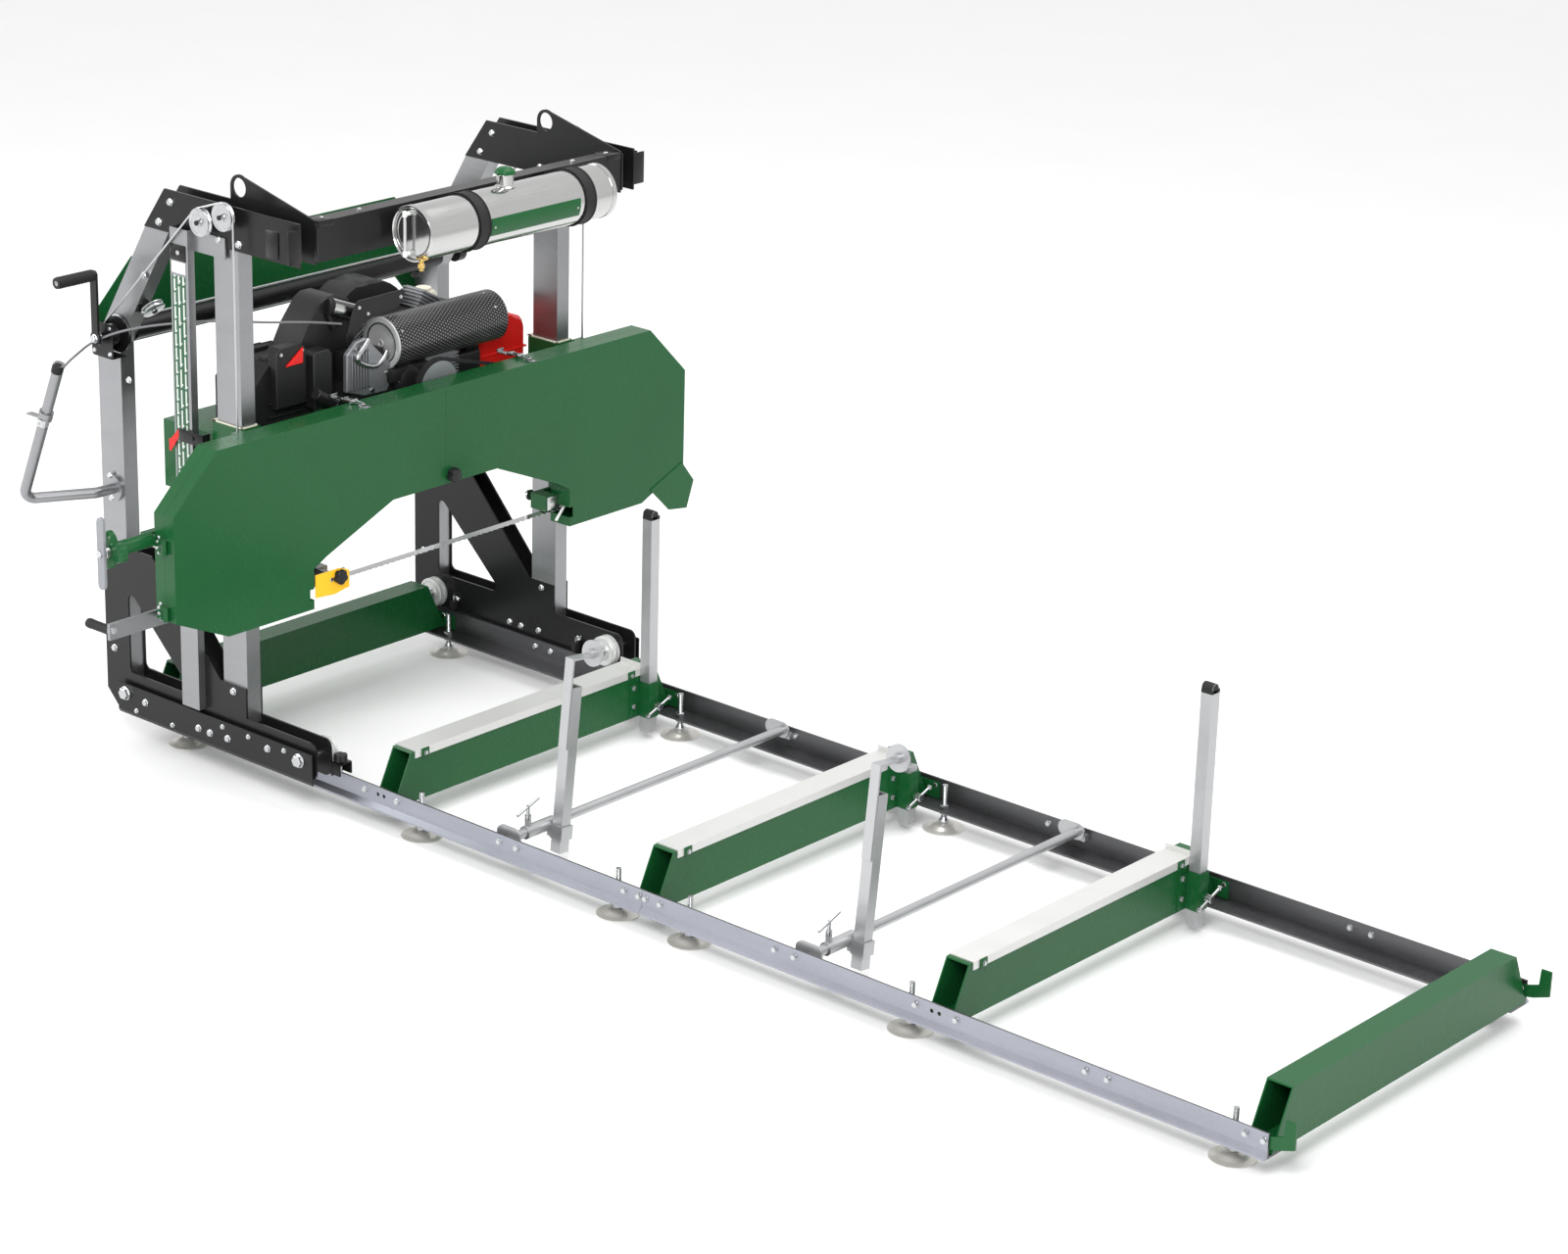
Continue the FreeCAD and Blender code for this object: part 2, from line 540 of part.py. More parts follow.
def log_posts():
    """Three square posts in clamp sockets on the middle bunks, each with its clamp handle."""
    sockets = []
    for number, bunk in enumerate((-1, 0, 1), start=1):
        face = S.bunk_pitch * bunk + S.bunk_width * 0.5
        inner = face + S.socket_wall
        half = S.post_side * 0.5 + S.slide_clearance
        middle = inner + half
        outer = middle + half + S.socket_wall
        boss_end = outer + S.clamp_boss_length
        socket = fuse(
            box_tube("z", S.socket_wall, (face, outer),
                     span(S.post_line, half + S.socket_wall), (S.socket_bottom, S.socket_top)),
            box((face, inner), (S.post_line - half - S.socket_wing, S.post_line - half),
                (S.socket_bottom + S.clamp_screw, S.socket_top - S.clamp_screw)),
            rod("x", S.clamp_boss, (outer - S.socket_wall * 0.5, boss_end), S.post_line, S.clamp_height))
        sockets.append(cut(socket, rod("x", S.clamp_screw + S.running_clearance,
                                       (middle + half - S.cut_over * 0.5, boss_end + S.cut_over),
                                       S.post_line, S.clamp_height)))
        top = S.short_post_top if bunk == 0 else S.post_top
        post = box_tube("z", S.post_wall, span(middle, S.post_side * 0.5),
                        span(S.post_line, S.post_side * 0.5), (S.post_bottom, top))
        lid = box(span(middle, S.post_side * 0.5), span(S.post_line, S.post_side * 0.5),
                  (top, top + S.post_wall))
        pieces = [post, lid]
        if bunk:
            pieces.append(rod("x", S.roller_radius, span(middle, S.post_side * 0.5),
                              S.post_line - S.post_wall, top + S.post_wall + S.roller_radius * 0.7))
        part(f"log_post_{number}", fuse(*pieces))
        tip = S.post_side * 0.5 + S.touch_gap
        knob = boss_end + S.clamp_stand
        screw = rod("x", S.clamp_screw, (middle + tip, knob), S.post_line, S.clamp_height)
        collar = rod("x", S.clamp_boss, (boss_end + S.touch_gap, knob), S.post_line, S.clamp_height)
        bar = rod("z", S.clamp_bar, 0, 0, span(0, S.clamp_bar_length * 0.5))
        tilted = turned(bar, "x", S.clamp_bar_tilt, boss_end + S.clamp_stand * 0.5, S.post_line,
                        S.clamp_height)
        part(f"post_handle_{number}", fuse(screw, collar, tilted))
    part("post_sockets", *sockets)


def log_dogs():
    """Two cross pipes in ear brackets, each with a sliding sleeve, a tilted tube, a hook and a clamp."""
    inner = S.rail_face - S.rail_wall
    pipes = []
    for number, spot in enumerate((S.pipe_first, S.pipe_second), start=1):
        pipe = tube("y", S.pipe_radius, S.pipe_radius - S.pipe_wall, spot,
                    (-S.pipe_end, S.pipe_end), S.pipe_line)
        pipes.append(pipe)
        for side in SIDES:
            depth = sorted([S.pipe_end * side, (S.pipe_end + S.ear_thick) * side], key=float)
            foot = sorted([(S.pipe_end + S.ear_thick) * side, inner * side], key=float)
            ear = fuse(
                rod("y", S.ear_radius, spot, depth, S.pipe_line),
                rod("y", S.ear_radius, spot - S.ear_reach + S.ear_radius, depth, S.pipe_line),
                box((spot - S.ear_reach + S.ear_radius, spot), depth, span(S.pipe_line, S.ear_radius)),
                box((spot - S.ear_radius, spot + S.ear_radius), foot,
                    (S.bolt_line - S.bolt_head, S.bolt_line + S.bolt_head)))
            pipes.append(ear)
        radius = S.pipe_radius + S.slide_clearance
        outer = radius + S.sleeve_wall
        near = spot + outer + S.touch_gap * 4
        dog_half = S.dog_side * 0.5 + S.slide_clearance
        middle = near + dog_half
        far = middle + dog_half + S.collar_wall
        foot_y = S.dog_foot_line
        lean = math.tan(math.radians(float(S.dog_lean)))
        collar_y = foot_y + (S.pipe_line - S.dog_foot) * lean
        height = S.collar_top - S.collar_bottom
        collar = (-dog_half - S.collar_wall, dog_half + S.collar_wall)
        slope = turned(box(collar, collar, (-height * 0.5, height * 0.5)),
                       "x", -S.dog_lean, middle, collar_y,
                       (S.collar_top + S.collar_bottom) * 0.5)
        sleeve = cut(fuse(
            rod("y", outer, spot, (S.sleeve_near, S.sleeve_far), S.pipe_line),
            box((spot, near + S.collar_wall), (collar_y - dog_half, S.sleeve_far),
                (S.collar_bottom + S.collar_flange, S.collar_top - S.collar_flange))),
            rod("y", radius, spot, (S.sleeve_near - S.cut_over, S.sleeve_far + S.cut_over), S.pipe_line),
            rod("z", S.clamp_screw + S.running_clearance, spot, S.sleeve_near + S.clamp_boss * 1.5,
                (S.pipe_line, S.collar_top + S.pipe_line)))
        boss = tube("z", S.clamp_boss, S.clamp_screw + S.running_clearance, spot,
                    S.sleeve_near + S.clamp_boss * 1.5,
                    (S.pipe_line + radius, S.pipe_line + outer + S.clamp_boss_length))
        boss = cut(boss, rod("y", radius + S.sleeve_wall * 0.5, spot,
                             (S.sleeve_near - S.cut_over, S.sleeve_far), S.pipe_line))
        carrier = cut(fuse(sleeve, slope, boss), turned(
            box((-dog_half, dog_half), (-dog_half, dog_half), (-S.dog_hook_top, S.dog_hook_top)),
            "x", -S.dog_lean, middle, collar_y, S.pipe_line))
        length = S.dog_head - S.dog_foot
        tilt = turned(box_tube("z", S.dog_wall, (-S.dog_side * 0.5, S.dog_side * 0.5),
                               (-S.dog_side * 0.5, S.dog_side * 0.5), (0, length)),
                      "x", -S.dog_lean, middle, foot_y, S.dog_foot)
        part(f"dog_sleeve_{number}", carrier, tilt)
        back = -S.dog_side * 0.5 - S.touch_gap
        rise = S.dog_hook_top - S.dog_foot
        bar_half = S.dog_bar_width * 0.5
        hook = fuse(
            box((-bar_half, bar_half), (back - S.dog_bar, back), (S.dog_bar_foot, rise)),
            box((-bar_half, bar_half), (back - S.dog_bar, back + S.dog_arm), (rise - S.dog_bar, rise)),
            rod("y", S.pad_hub, 0, (back + S.dog_arm - S.pad_hub, back + S.dog_arm), rise),
            rod("y", S.pad_radius, 0, (back + S.dog_arm, back + S.dog_arm + S.pad_thick), rise))
        part(f"dog_hook_{number}", turned(hook, "x", -S.dog_lean, middle, foot_y, S.dog_foot))
        boss_end = S.pipe_line + outer + S.clamp_boss_length
        line = S.sleeve_near + S.clamp_boss * 1.5
        knob = boss_end + S.clamp_stand * 3
        bar = rod("z", S.clamp_bar, 0, 0, span(0, S.clamp_bar_length * 0.5))
        part(f"dog_handle_{number}", fuse(
            rod("z", S.clamp_screw, spot, line, (S.pipe_line + S.pipe_radius + S.touch_gap, knob)),
            rod("z", S.clamp_boss, spot, line, (boss_end + S.touch_gap, boss_end + S.clamp_stand)),
            turned(bar, "x", -(S.clamp_bar_tilt * 2), spot, line, knob - S.clamp_bar)))
    part("dog_pipes", *pipes)


# the carriage

def side_plate(y_pair):
    """One laser-cut side plate with its window."""
    nose = S.frame_front - S.nose_radius
    blank = plate("y", *y_pair, [
        (S.rear_edge, S.base_bottom + S.base_corner), (S.rear_edge + S.base_corner, S.base_bottom),
        (S.frame_front, S.base_bottom), (S.frame_front, S.base_top), (S.gusset_edge, S.base_top),
        (S.gusset_edge, S.gusset_top), (S.gusset_back, S.gusset_top), (S.slope_start, S.slope_top),
        (S.slope_start - S.base_corner, S.column_top), (S.rear_edge, S.column_top)],
        (2, 3, 7, 9), S.nose_radius * 0.5)
    window = plate("y", as_size(y_pair[0]) - S.cut_over, as_size(y_pair[1]) + S.cut_over, [
        (S.window_left, S.window_bottom), (S.window_right, S.window_bottom), (S.window_left, S.window_top)],
        (0, 1, 2), S.window_corner)
    return cut(blank, window)


def carriage_frame():
    """Side plates, the four posts, the top plates and the cross beam."""
    inner = (S.side_inner, S.side_inner + S.side_plate)
    outer = (S.side_outer - S.side_plate, S.side_outer)
    between = (inner[1], outer[0])
    sides = []
    for pair in (inner, outer):
        holes = [rod("y", S.axle_radius + S.running_clearance, spot,
                     (pair[0] - S.cut_over, pair[1] + S.cut_over), S.axle_line)
                 for spot in (S.axle_front, S.axle_rear)]
        sides.append(cut(side_plate(pair), *holes))
    part("side_frames", *sides, *[mirrored(side) for side in sides])

    front_edge = S.front_post_back + S.front_post_depth
    front = box_tube("z", S.post_tube_wall, (S.front_post_back, front_edge), between,
                     (S.post_foot, S.front_post_top))
    rear_front = S.rear_edge + S.rear_post_depth
    rise = S.rear_post_top - S.rear_post_bend
    rear_blank = plate("y", *between, [
        (S.rear_edge, S.post_foot), (rear_front, S.post_foot), (rear_front, S.rear_post_bend),
        (rear_front + S.rear_post_shift, S.rear_post_top), (S.rear_edge + S.rear_post_shift, S.rear_post_top),
        (S.rear_edge, S.rear_post_bend)])
    wall = S.post_tube_wall
    rear_bore = plate("y", between[0] + wall, between[1] - wall, [
        (S.rear_edge + wall, S.post_foot - S.cut_over), (rear_front - wall, S.post_foot - S.cut_over),
        (rear_front - wall, S.rear_post_bend),
        (rear_front - wall + S.rear_post_shift, S.rear_post_top + S.cut_over),
        (S.rear_edge + wall + S.rear_post_shift, S.rear_post_top + S.cut_over),
        (S.rear_edge + wall, S.rear_post_bend)])
    rear = cut(rear_blank, rear_bore, rod("y", S.crank_shaft + S.running_clearance, S.crank_place,
                                          (S.side_inner, S.side_outer), S.crank_line))
    part("frame_posts", front, rear, mirrored(front), mirrored(rear))

    top_outline = [
        (S.top_back, S.top_bottom), (S.top_front, S.top_bottom), (S.top_front, S.top_crest),
        (S.top_shoulder, S.top_crest)]
    plain = cut(plate("y", *outer, top_outline), pin_holes(outer))
    eye_low = S.top_crest - S.eye_rim
    eyed = cut(
        fuse(plate("y", *inner, top_outline),
             plate("y", *inner, [(S.eye_place - S.eye_rim, eye_low), (S.top_front - S.eye_rim, eye_low),
                                 (S.top_front, S.top_crest), (S.eye_place, S.eye_line + S.eye_rim),
                                 (S.eye_place - S.eye_rim, S.eye_line)]),
             rod("y", S.eye_rim, S.eye_place, inner, S.eye_line)),
        rod("y", S.eye_radius, S.eye_place, (inner[0] - S.cut_over, inner[1] + S.cut_over), S.eye_line))
    tops = [plain, eyed]
    beam = box_tube("y", S.beam_wall, (S.beam_back, S.beam_front), (-inner[0], inner[0]),
                    (S.beam_bottom, S.beam_top))

    pins = []
    for spot, line in ((S.pulley_back, S.pulley_back_line), (S.pulley_front, S.pulley_front_line)):
        pins.append(rod("y", S.pulley_pin, spot, (outer[0], S.pulley_line + S.pulley_width), line))
    part("top_frame", beam, *tops, *[mirrored(item) for item in tops], *pins,
         *[mirrored(pin) for pin in pins])


def pin_holes(pair):
    """Holes for the pulley pins through a plate."""
    return group(*[rod("y", S.pulley_pin, spot, (pair[0] - S.cut_over, pair[1] + S.cut_over), line)
                   for spot, line in ((S.pulley_back, S.pulley_back_line),
                                      (S.pulley_front, S.pulley_front_line))])


def pulley(x, line, side):
    """A grooved cable pulley on its pin."""
    half = S.pulley_width * 0.5
    rim = S.pulley_radius - S.pulley_groove
    centre = S.pulley_line * side
    lower = cone("y", S.pulley_radius, rim, x, (centre - half, centre), line)
    upper = cone("y", rim, S.pulley_radius, x, (centre, centre + half), line)
    return cut(fuse(lower, upper), rod("y", S.pulley_pin + S.running_clearance, x,
                                       (centre - half - S.cut_over, centre + half + S.cut_over), line))


def carriage_wheels():
    """Grooved track wheels on their axles, the wheel guards and the carriage lock."""
    for name, spot in (("front_wheels", S.axle_front), ("rear_wheels", S.axle_rear)):
        wheels = []
        for side in SIDES:
            half = S.wheel_width * 0.5
            centre = S.wheel_line * side
            groove = S.wheel_groove_width * 0.5
            rim_low = rod("y", S.wheel_rim, spot, (centre - half, centre - groove), S.axle_line)
            rim_high = rod("y", S.wheel_rim, spot, (centre + groove, centre + half), S.axle_line)
            core = rod("y", S.wheel_groove, spot, (centre - groove, centre + groove), S.axle_line)
            bore = rod("y", S.axle_radius + S.running_clearance, spot,
                       (centre - half - S.cut_over, centre + half + S.cut_over), S.axle_line)
            wheels.append(cut(fuse(rim_low, rim_high, core), bore))
        part(name, *wheels)
    axles = []
    for spot in (S.axle_front, S.axle_rear):
        inner_end = S.wheel_line - S.wheel_width * 0.5 - S.touch_gap
        axle = fuse(
            rod("y", S.axle_radius, spot, (inner_end - S.axle_head_height, S.side_outer + S.axle_head_height),
                S.axle_line),
            rod("y", S.axle_head, spot, (inner_end - S.axle_head_height, inner_end), S.axle_line),
            rod("y", S.axle_head, spot, (S.side_outer, S.side_outer + S.axle_head_height), S.axle_line, 6))
        axles += [axle, mirrored(axle)]
    part("wheel_axles", *axles)
    guard_line = S.side_outer + S.axle_head_height
    guard = fuse(
        box((S.guard_back, S.frame_front), (guard_line, guard_line + S.guard_plate),
            (S.base_bottom, S.guard_top)),
        plate("x", S.guard_back, S.frame_front, [
            (guard_line, S.base_bottom), (guard_line + S.guard_plate, S.base_bottom),
            (guard_line, S.guard_bottom), (guard_line - S.guard_plate, S.guard_bottom)]))
    lock_x = (S.frame_front + S.touch_gap, S.frame_front + S.lock_length)
    near = -S.side_inner
    arm = plate("x", *lock_x, [
        (near, S.rail_top - S.lock_plate), (near - S.lock_plate, S.rail_top - S.lock_plate),
        (near - S.lock_plate, S.lock_top + S.lock_plate),
        (-S.wheel_line + S.wheel_width, S.lock_top + S.lock_plate),
        (-S.wheel_line + S.wheel_width, S.rail_top - S.lock_plate),
        (-S.wheel_line + S.wheel_width - S.lock_plate, S.rail_top - S.lock_plate),
        (-S.wheel_line + S.wheel_width - S.lock_plate, S.lock_top), (near, S.lock_top)])
    lug = box((S.frame_front, S.frame_front + S.lock_plate), (near - S.side_plate, near),
              (S.lock_top - S.lock_length, S.lock_top + S.lock_plate))
    bored = cut(fuse(arm, lug), rod("z", S.clamp_screw + S.running_clearance, (lock_x[0] + lock_x[1]) * 0.5,
                                    -S.wheel_line, (S.rail_top, S.lock_top + S.lock_length)))
    part("wheel_guards", guard, mirrored(guard), bored)
    middle = (lock_x[0] + lock_x[1]) * 0.5
    plate_top = S.lock_top + S.lock_plate
    part("lock_knob", fuse(
        rod("z", S.clamp_screw, middle, -S.wheel_line,
            (S.rail_top + S.touch_gap * 4, plate_top + S.clamp_stand)),
        rod("z", S.knob_radius, middle, -S.wheel_line,
            (plate_top + S.touch_gap, plate_top + S.knob_height))))


def carriage_fittings():
    """Scale post, push handle, crank and lift gear, rear guard and lubricant tank."""
    near = -S.side_outer
    post_face = S.side_plate - S.side_outer
    foot = S.scale_back + S.scale_wall
    channel = cut(
        box((S.scale_back, S.scale_front), (near - S.scale_depth, near),
            (S.scale_bottom, S.scale_bracket_top)),
        box((foot, S.scale_front - S.scale_wall), (near - S.scale_depth + S.scale_wall, near + S.cut_over),
            (S.scale_bottom - S.cut_over, S.scale_bracket_top + S.cut_over)))
    bracket = box((S.scale_front, S.scale_bracket_front), (near - S.scale_wall * 2, near),
                  (S.scale_bracket_bottom, S.scale_bracket_top))
    part("scale_post", fuse(channel, bracket))

    shaped("push_handle", push_handle_shape(post_face, post_face - S.handle_flange_thick))

    disc = cut(rod("y", S.disc_radius, S.crank_place, (post_face - S.disc_thick, post_face), S.crank_line),
               rod("y", S.crank_shaft + S.running_clearance, S.crank_place,
                   (post_face - S.disc_thick - S.cut_over, post_face + S.cut_over), S.crank_line))
    cross = tube("y", S.cross_tube, S.cross_tube - S.cross_tube_wall, S.crank_place,
                 (-S.side_inner - S.side_plate, S.side_inner + S.side_plate), S.crank_line)
    part("lift_bearings", disc, cross)
    shaft_end = S.pulley_line + S.drum_half
    grip_top = S.crank_line + S.crank_arm
    arm_pair = (-S.crank_out, -S.crank_out + S.crank_arm_thick)
    part("lift_crank", fuse(
        rod("y", S.crank_shaft, S.crank_place, (-S.crank_out, shaft_end), S.crank_line),
        *[rod("y", S.drum_radius, S.crank_place, span(S.pulley_line * side, S.drum_half), S.crank_line)
          for side in SIDES],
        rod("y", S.crank_hub, S.crank_place, arm_pair, S.crank_line),
        box(span(S.crank_place, S.crank_arm_width * 0.5), arm_pair, (S.crank_line, grip_top)),
        rod("y", S.crank_arm_width * 0.5, S.crank_place, arm_pair, grip_top),
        rod("y", S.crank_grip, S.crank_place, (-S.crank_out - S.crank_grip_length, -S.crank_out), grip_top)))

    back = (S.rear_edge - S.rear_sheet, S.rear_edge)
    inset = S.rear_sheet_side - S.rear_sheet_chamfer
    low = S.rear_sheet_side - S.rear_sheet_chamfer * 0.5
    part("rear_guard", plate("x", *back, [
        (-S.rear_sheet_side, S.rear_sheet_bottom), (-low, S.rear_sheet_bottom), (-inset, S.rear_sheet_arch),
        (inset, S.rear_sheet_arch), (low, S.rear_sheet_bottom), (S.rear_sheet_side, S.rear_sheet_bottom),
        (S.rear_sheet_side, S.rear_sheet_top - S.rear_sheet_chamfer), (inset, S.rear_sheet_top),
        (-inset, S.rear_sheet_top), (-S.rear_sheet_side, S.rear_sheet_top - S.rear_sheet_chamfer)]))

    body = cut(rod("y", S.tank_radius, S.tank_place, (S.tank_near, S.tank_far), S.tank_line),
               rod("y", S.tank_radius - S.tank_wall, S.tank_place,
                   (S.tank_near + S.tank_wall, S.tank_far - S.tank_wall), S.tank_line))
    neck = rod("z", S.tank_neck, S.tank_place, S.tank_neck_place,
               (S.tank_line + S.tank_radius - S.tank_neck * 0.5, S.tank_neck_top))
    part("lube_tank", fuse(body, neck))
    part("lube_cap", rod("z", S.tank_cap, S.tank_place, S.tank_neck_place,
                         (S.tank_neck_top, S.tank_neck_top + S.tank_cap_height)))
    straps = []
    for line in (S.tank_strap_near, S.tank_strap_far):
        width = span(line, S.tank_strap_width * 0.5)
        ring = tube("y", S.tank_radius + S.tank_strap, S.tank_radius, S.tank_place, width, S.tank_line)
        shelf = cut(box((S.beam_front, S.tank_place), width, span(S.tank_line, S.tank_strap * 3)),
                    rod("y", S.tank_radius, S.tank_place, (width[0] - S.cut_over, width[1] + S.cut_over),
                        S.tank_line))
        straps.append(fuse(ring, shelf))
    part("tank_straps", *straps)

    for name, x, line in (("back_pulleys", S.pulley_back, S.pulley_back_line),
                          ("front_pulleys", S.pulley_front, S.pulley_front_line)):
        part(name, pulley(x, line, -1), pulley(x, line, 1))


def rounded_route(points, radius):
    """A wire of straight runs joined by tangent arcs of one radius."""
    edges = []
    start = points[0]
    for before, corner, after in zip(points, points[1:], points[2:]):
        inward = (before - corner).normalize()
        outward = (after - corner).normalize()
        half = (math.pi - inward.getAngle(outward)) / 2
        step = radius * math.tan(half)
        first = corner + inward * step
        last = corner + outward * step
        bulge = (inward + outward).normalize()
        middle = corner + bulge * (radius / math.cos(half) - radius)
        edges.append(Part.LineSegment(start, first).toShape())
        edges.append(Part.Arc(first, middle, last).toShape())
        start = last
    edges.append(Part.LineSegment(start, points[-1]).toShape())
    return Part.Wire(edges)


def swept(wire, radius):
    """A round bar along a wire."""
    first = wire.Edges[0]
    direction = first.tangentAt(first.FirstParameter)
    circle = Part.Wire(Part.Circle(first.valueAt(first.FirstParameter), direction, float(radius)).toShape())
    return wire.makePipeShell([circle], True, False)


def push_handle_shape(near, flange_face):
    """The bent pipe handle and its flange on the near rear post."""
    x = float(S.handle_place)
    z = float(S.handle_line)
    bend = FreeCAD.Vector(x - float(S.handle_back), float(near - S.handle_out), z)
    route = [
        FreeCAD.Vector(x, float(flange_face), z),
        FreeCAD.Vector(x, float(flange_face - S.handle_bend), z), bend,
        bend + FreeCAD.Vector(float(S.handle_run), 0, float(S.handle_rise))]
    pipe = swept(rounded_route(route, float(S.handle_bend) * 0.5), S.handle_pipe)
    flange = Part.makeCylinder(float(S.handle_flange), float(S.handle_flange_thick),
                               FreeCAD.Vector(x, float(near), z), FreeCAD.Vector(0, -1, 0))
    rise = FreeCAD.Vector(float(S.handle_run), 0, float(S.handle_rise))
    along = FreeCAD.Vector(rise).normalize()
    spot = bend + rise * float(S.lever_share)
    clamp = Part.makeCylinder(float(S.lever_clamp), float(S.lever_clamp_length), spot, along)
    lever = Part.makeBox(float(S.lever_length), float(S.lever_clamp), float(S.post_tube_wall))
    lever.translate(spot + FreeCAD.Vector(-float(S.lever_length), -float(S.lever_clamp) * 0.5, 0))
    return pipe.fuse(flange).fuse(clamp).fuse(lever)


# the head

def cover_outline():
    """Half of the blade cover's outline, from the middle outwards and back."""
    return [
        (as_size(0), S.cover_arch), (S.cover_slant - S.cover_foot * 0.5, S.cover_arch),
        (S.cover_slant, S.cover_slant_line),
        (S.cover_foot, S.cover_foot_top), (S.cover_foot, S.cover_bottom),
        (S.cover_lower_corner, S.cover_bottom), (S.cover_side, S.cover_corner_drop),
        (S.cover_side, S.cover_shoulder_line), (S.cover_shoulder, S.cover_top), (as_size(0), S.cover_top)]


def inset_outline(points, wall):
    """A convex-ish outline drawn in by a wall, corner by corner."""
    arch, slope, slant, knee, foot, low, side, shoulder, crest, middle = points
    return [
        (arch[0], arch[1] + wall), (slope[0] + wall * 0.5, slope[1] + wall),
        (slant[0] + wall, slant[1] + wall),
        (knee[0] + wall, knee[1]), (foot[0] + wall, foot[1] + wall), (low[0] - wall * 0.5, low[1] + wall),
        (side[0] - wall, side[1] + wall * 0.5), (shoulder[0] - wall, shoulder[1] - wall * 0.5),
        (crest[0] - wall * 0.5, crest[1] - wall), (middle[0], middle[1] - wall)]


def shell(x_pair, open_start, open_end):
    """One half cover: a sheet-metal tray, open at the marked faces."""
    outline = cover_outline()
    inner = inset_outline(outline, S.cover_wall)
    start = as_size(x_pair[0]) - S.cut_over if open_start else as_size(x_pair[0]) + S.cover_wall
    end = as_size(x_pair[1]) + S.cut_over if open_end else as_size(x_pair[1]) - S.cover_wall
    return cut(plate("x", *x_pair, outline), plate("x", start, end, inner))


def blade_gap(x_pair):
    """The slot that lets the band run out of the cover."""
    low = S.wheel_height - S.band_wheel - S.guide_roller
    return box((as_size(x_pair[0]) - S.cut_over, as_size(x_pair[1]) + S.cut_over),
               (S.cover_slant - S.cover_foot, S.cover_foot + S.cut_over * 3),
               (low, low + S.guide_roller * 2))


def covers():
    """Two fixed cover backs, two hinged doors, their latches and the knob."""
    back_pair = (S.cover_back, S.cover_seam - S.seam_gap)
    door_pair = (S.cover_seam, S.cover_front)
    back = cut(shell(back_pair, False, True), blade_gap(back_pair), back_holes())
    backs = fuse(back, mirrored(back))
    door = cut(shell(door_pair, True, False), blade_gap(door_pair),
               box((S.cover_back, S.cover_front + S.cut_over), (-S.seam_gap, S.seam_gap * 0.5),
                   (S.cover_arch - S.cut_over, S.cover_top + S.cut_over)))
    knuckle_x = S.cover_seam + S.hinge_radius
    knuckle_y = S.cover_side + S.hinge_radius
    knuckles = [rod("z", S.hinge_radius, knuckle_x, knuckle_y, span(line, S.hinge_half * 0.5))
                for line in (S.hinge_upper, S.hinge_lower + S.hinge_half * 2)]
    bored = [cut(knuckle, rod("z", S.hinge_radius * 0.5 + S.running_clearance, knuckle_x, knuckle_y,
                              (S.cover_bottom, S.cover_top))) for knuckle in knuckles]
    flap = plate("x", S.cover_front, S.cover_front + S.flap_thick, [
        (S.flap_in, S.cover_bottom + S.flap_rise), (S.flap_low, S.cover_bottom - S.flap_drop * 0.8),
        (S.flap_tip, S.cover_bottom - S.flap_drop), (S.flap_out, S.cover_bottom + S.flap_rise * 0.7),
        (S.cover_side - S.flap_inset, S.cover_corner_drop + S.flap_inset)])
    far_door = fuse(door, *bored)
    part("far_cover_door", fuse(far_door, flap))
    part("near_cover_door", mirrored(far_door))
    pins = []
    for line in (S.hinge_upper, S.hinge_lower + S.hinge_half * 2):
        pin = rod("z", S.hinge_radius * 0.5, knuckle_x, knuckle_y, span(line, S.hinge_half))
        for side in SIDES:
            gap = S.hinge_half * 0.5 + S.touch_gap
            pair = sorted([line + gap * side, line + S.hinge_half * side], key=float)
            lug = fuse(rod("z", S.hinge_radius, knuckle_x, knuckle_y, pair),
                       box((S.cover_seam - S.seam_gap - S.hinge_radius * 2, knuckle_x),
                           (S.cover_side, knuckle_y), pair))
            pin = fuse(pin, cut(lug, box((S.cover_seam - S.seam_gap, knuckle_x + S.hinge_radius),
                                         (S.cover_side - S.cut_over, S.cover_side + S.touch_gap), pair)))
        pins += [pin, mirrored(pin)]
    part("cover_backs", backs, *pins)
    latches = []
    for line in (S.latch_near, S.latch_far):
        low = S.cover_top + S.touch_gap
        latches.append(fuse(
            box((S.cover_seam - S.latch_length, S.cover_seam - S.latch_width),
                span(line, S.latch_width * 0.5),
                (S.cover_top, low + S.latch_height * 0.5)),
            rod("y", S.latch_height * 0.5, S.cover_seam - S.latch_width, span(line, S.latch_width * 0.5),
                low + S.latch_height * 0.5)))
    latches = [cut(latch, box((S.cover_back - S.latch_length, S.cover_back),
                              (S.latch_near * 2, S.latch_far * 2),
                              (S.cover_arch, S.cover_top))) for latch in latches]
    for name, latch in zip(("near_latch", "far_latch"), latches):
        part(name, latch)
    part("cover_knob", rod("x", S.cover_knob, (S.cover_front, S.cover_front + S.cover_knob_length),
                           S.cover_knob + S.seam_gap, S.knob_line))


def back_holes():
    """Holes in the cover back for the wheel shafts and the belt."""
    pair = (S.cover_back - S.cut_over, S.cover_back + S.cover_wall + S.cut_over)
    return rod("x", S.band_hub + S.touch_gap * 4, pair, S.wheel_place, S.wheel_height)


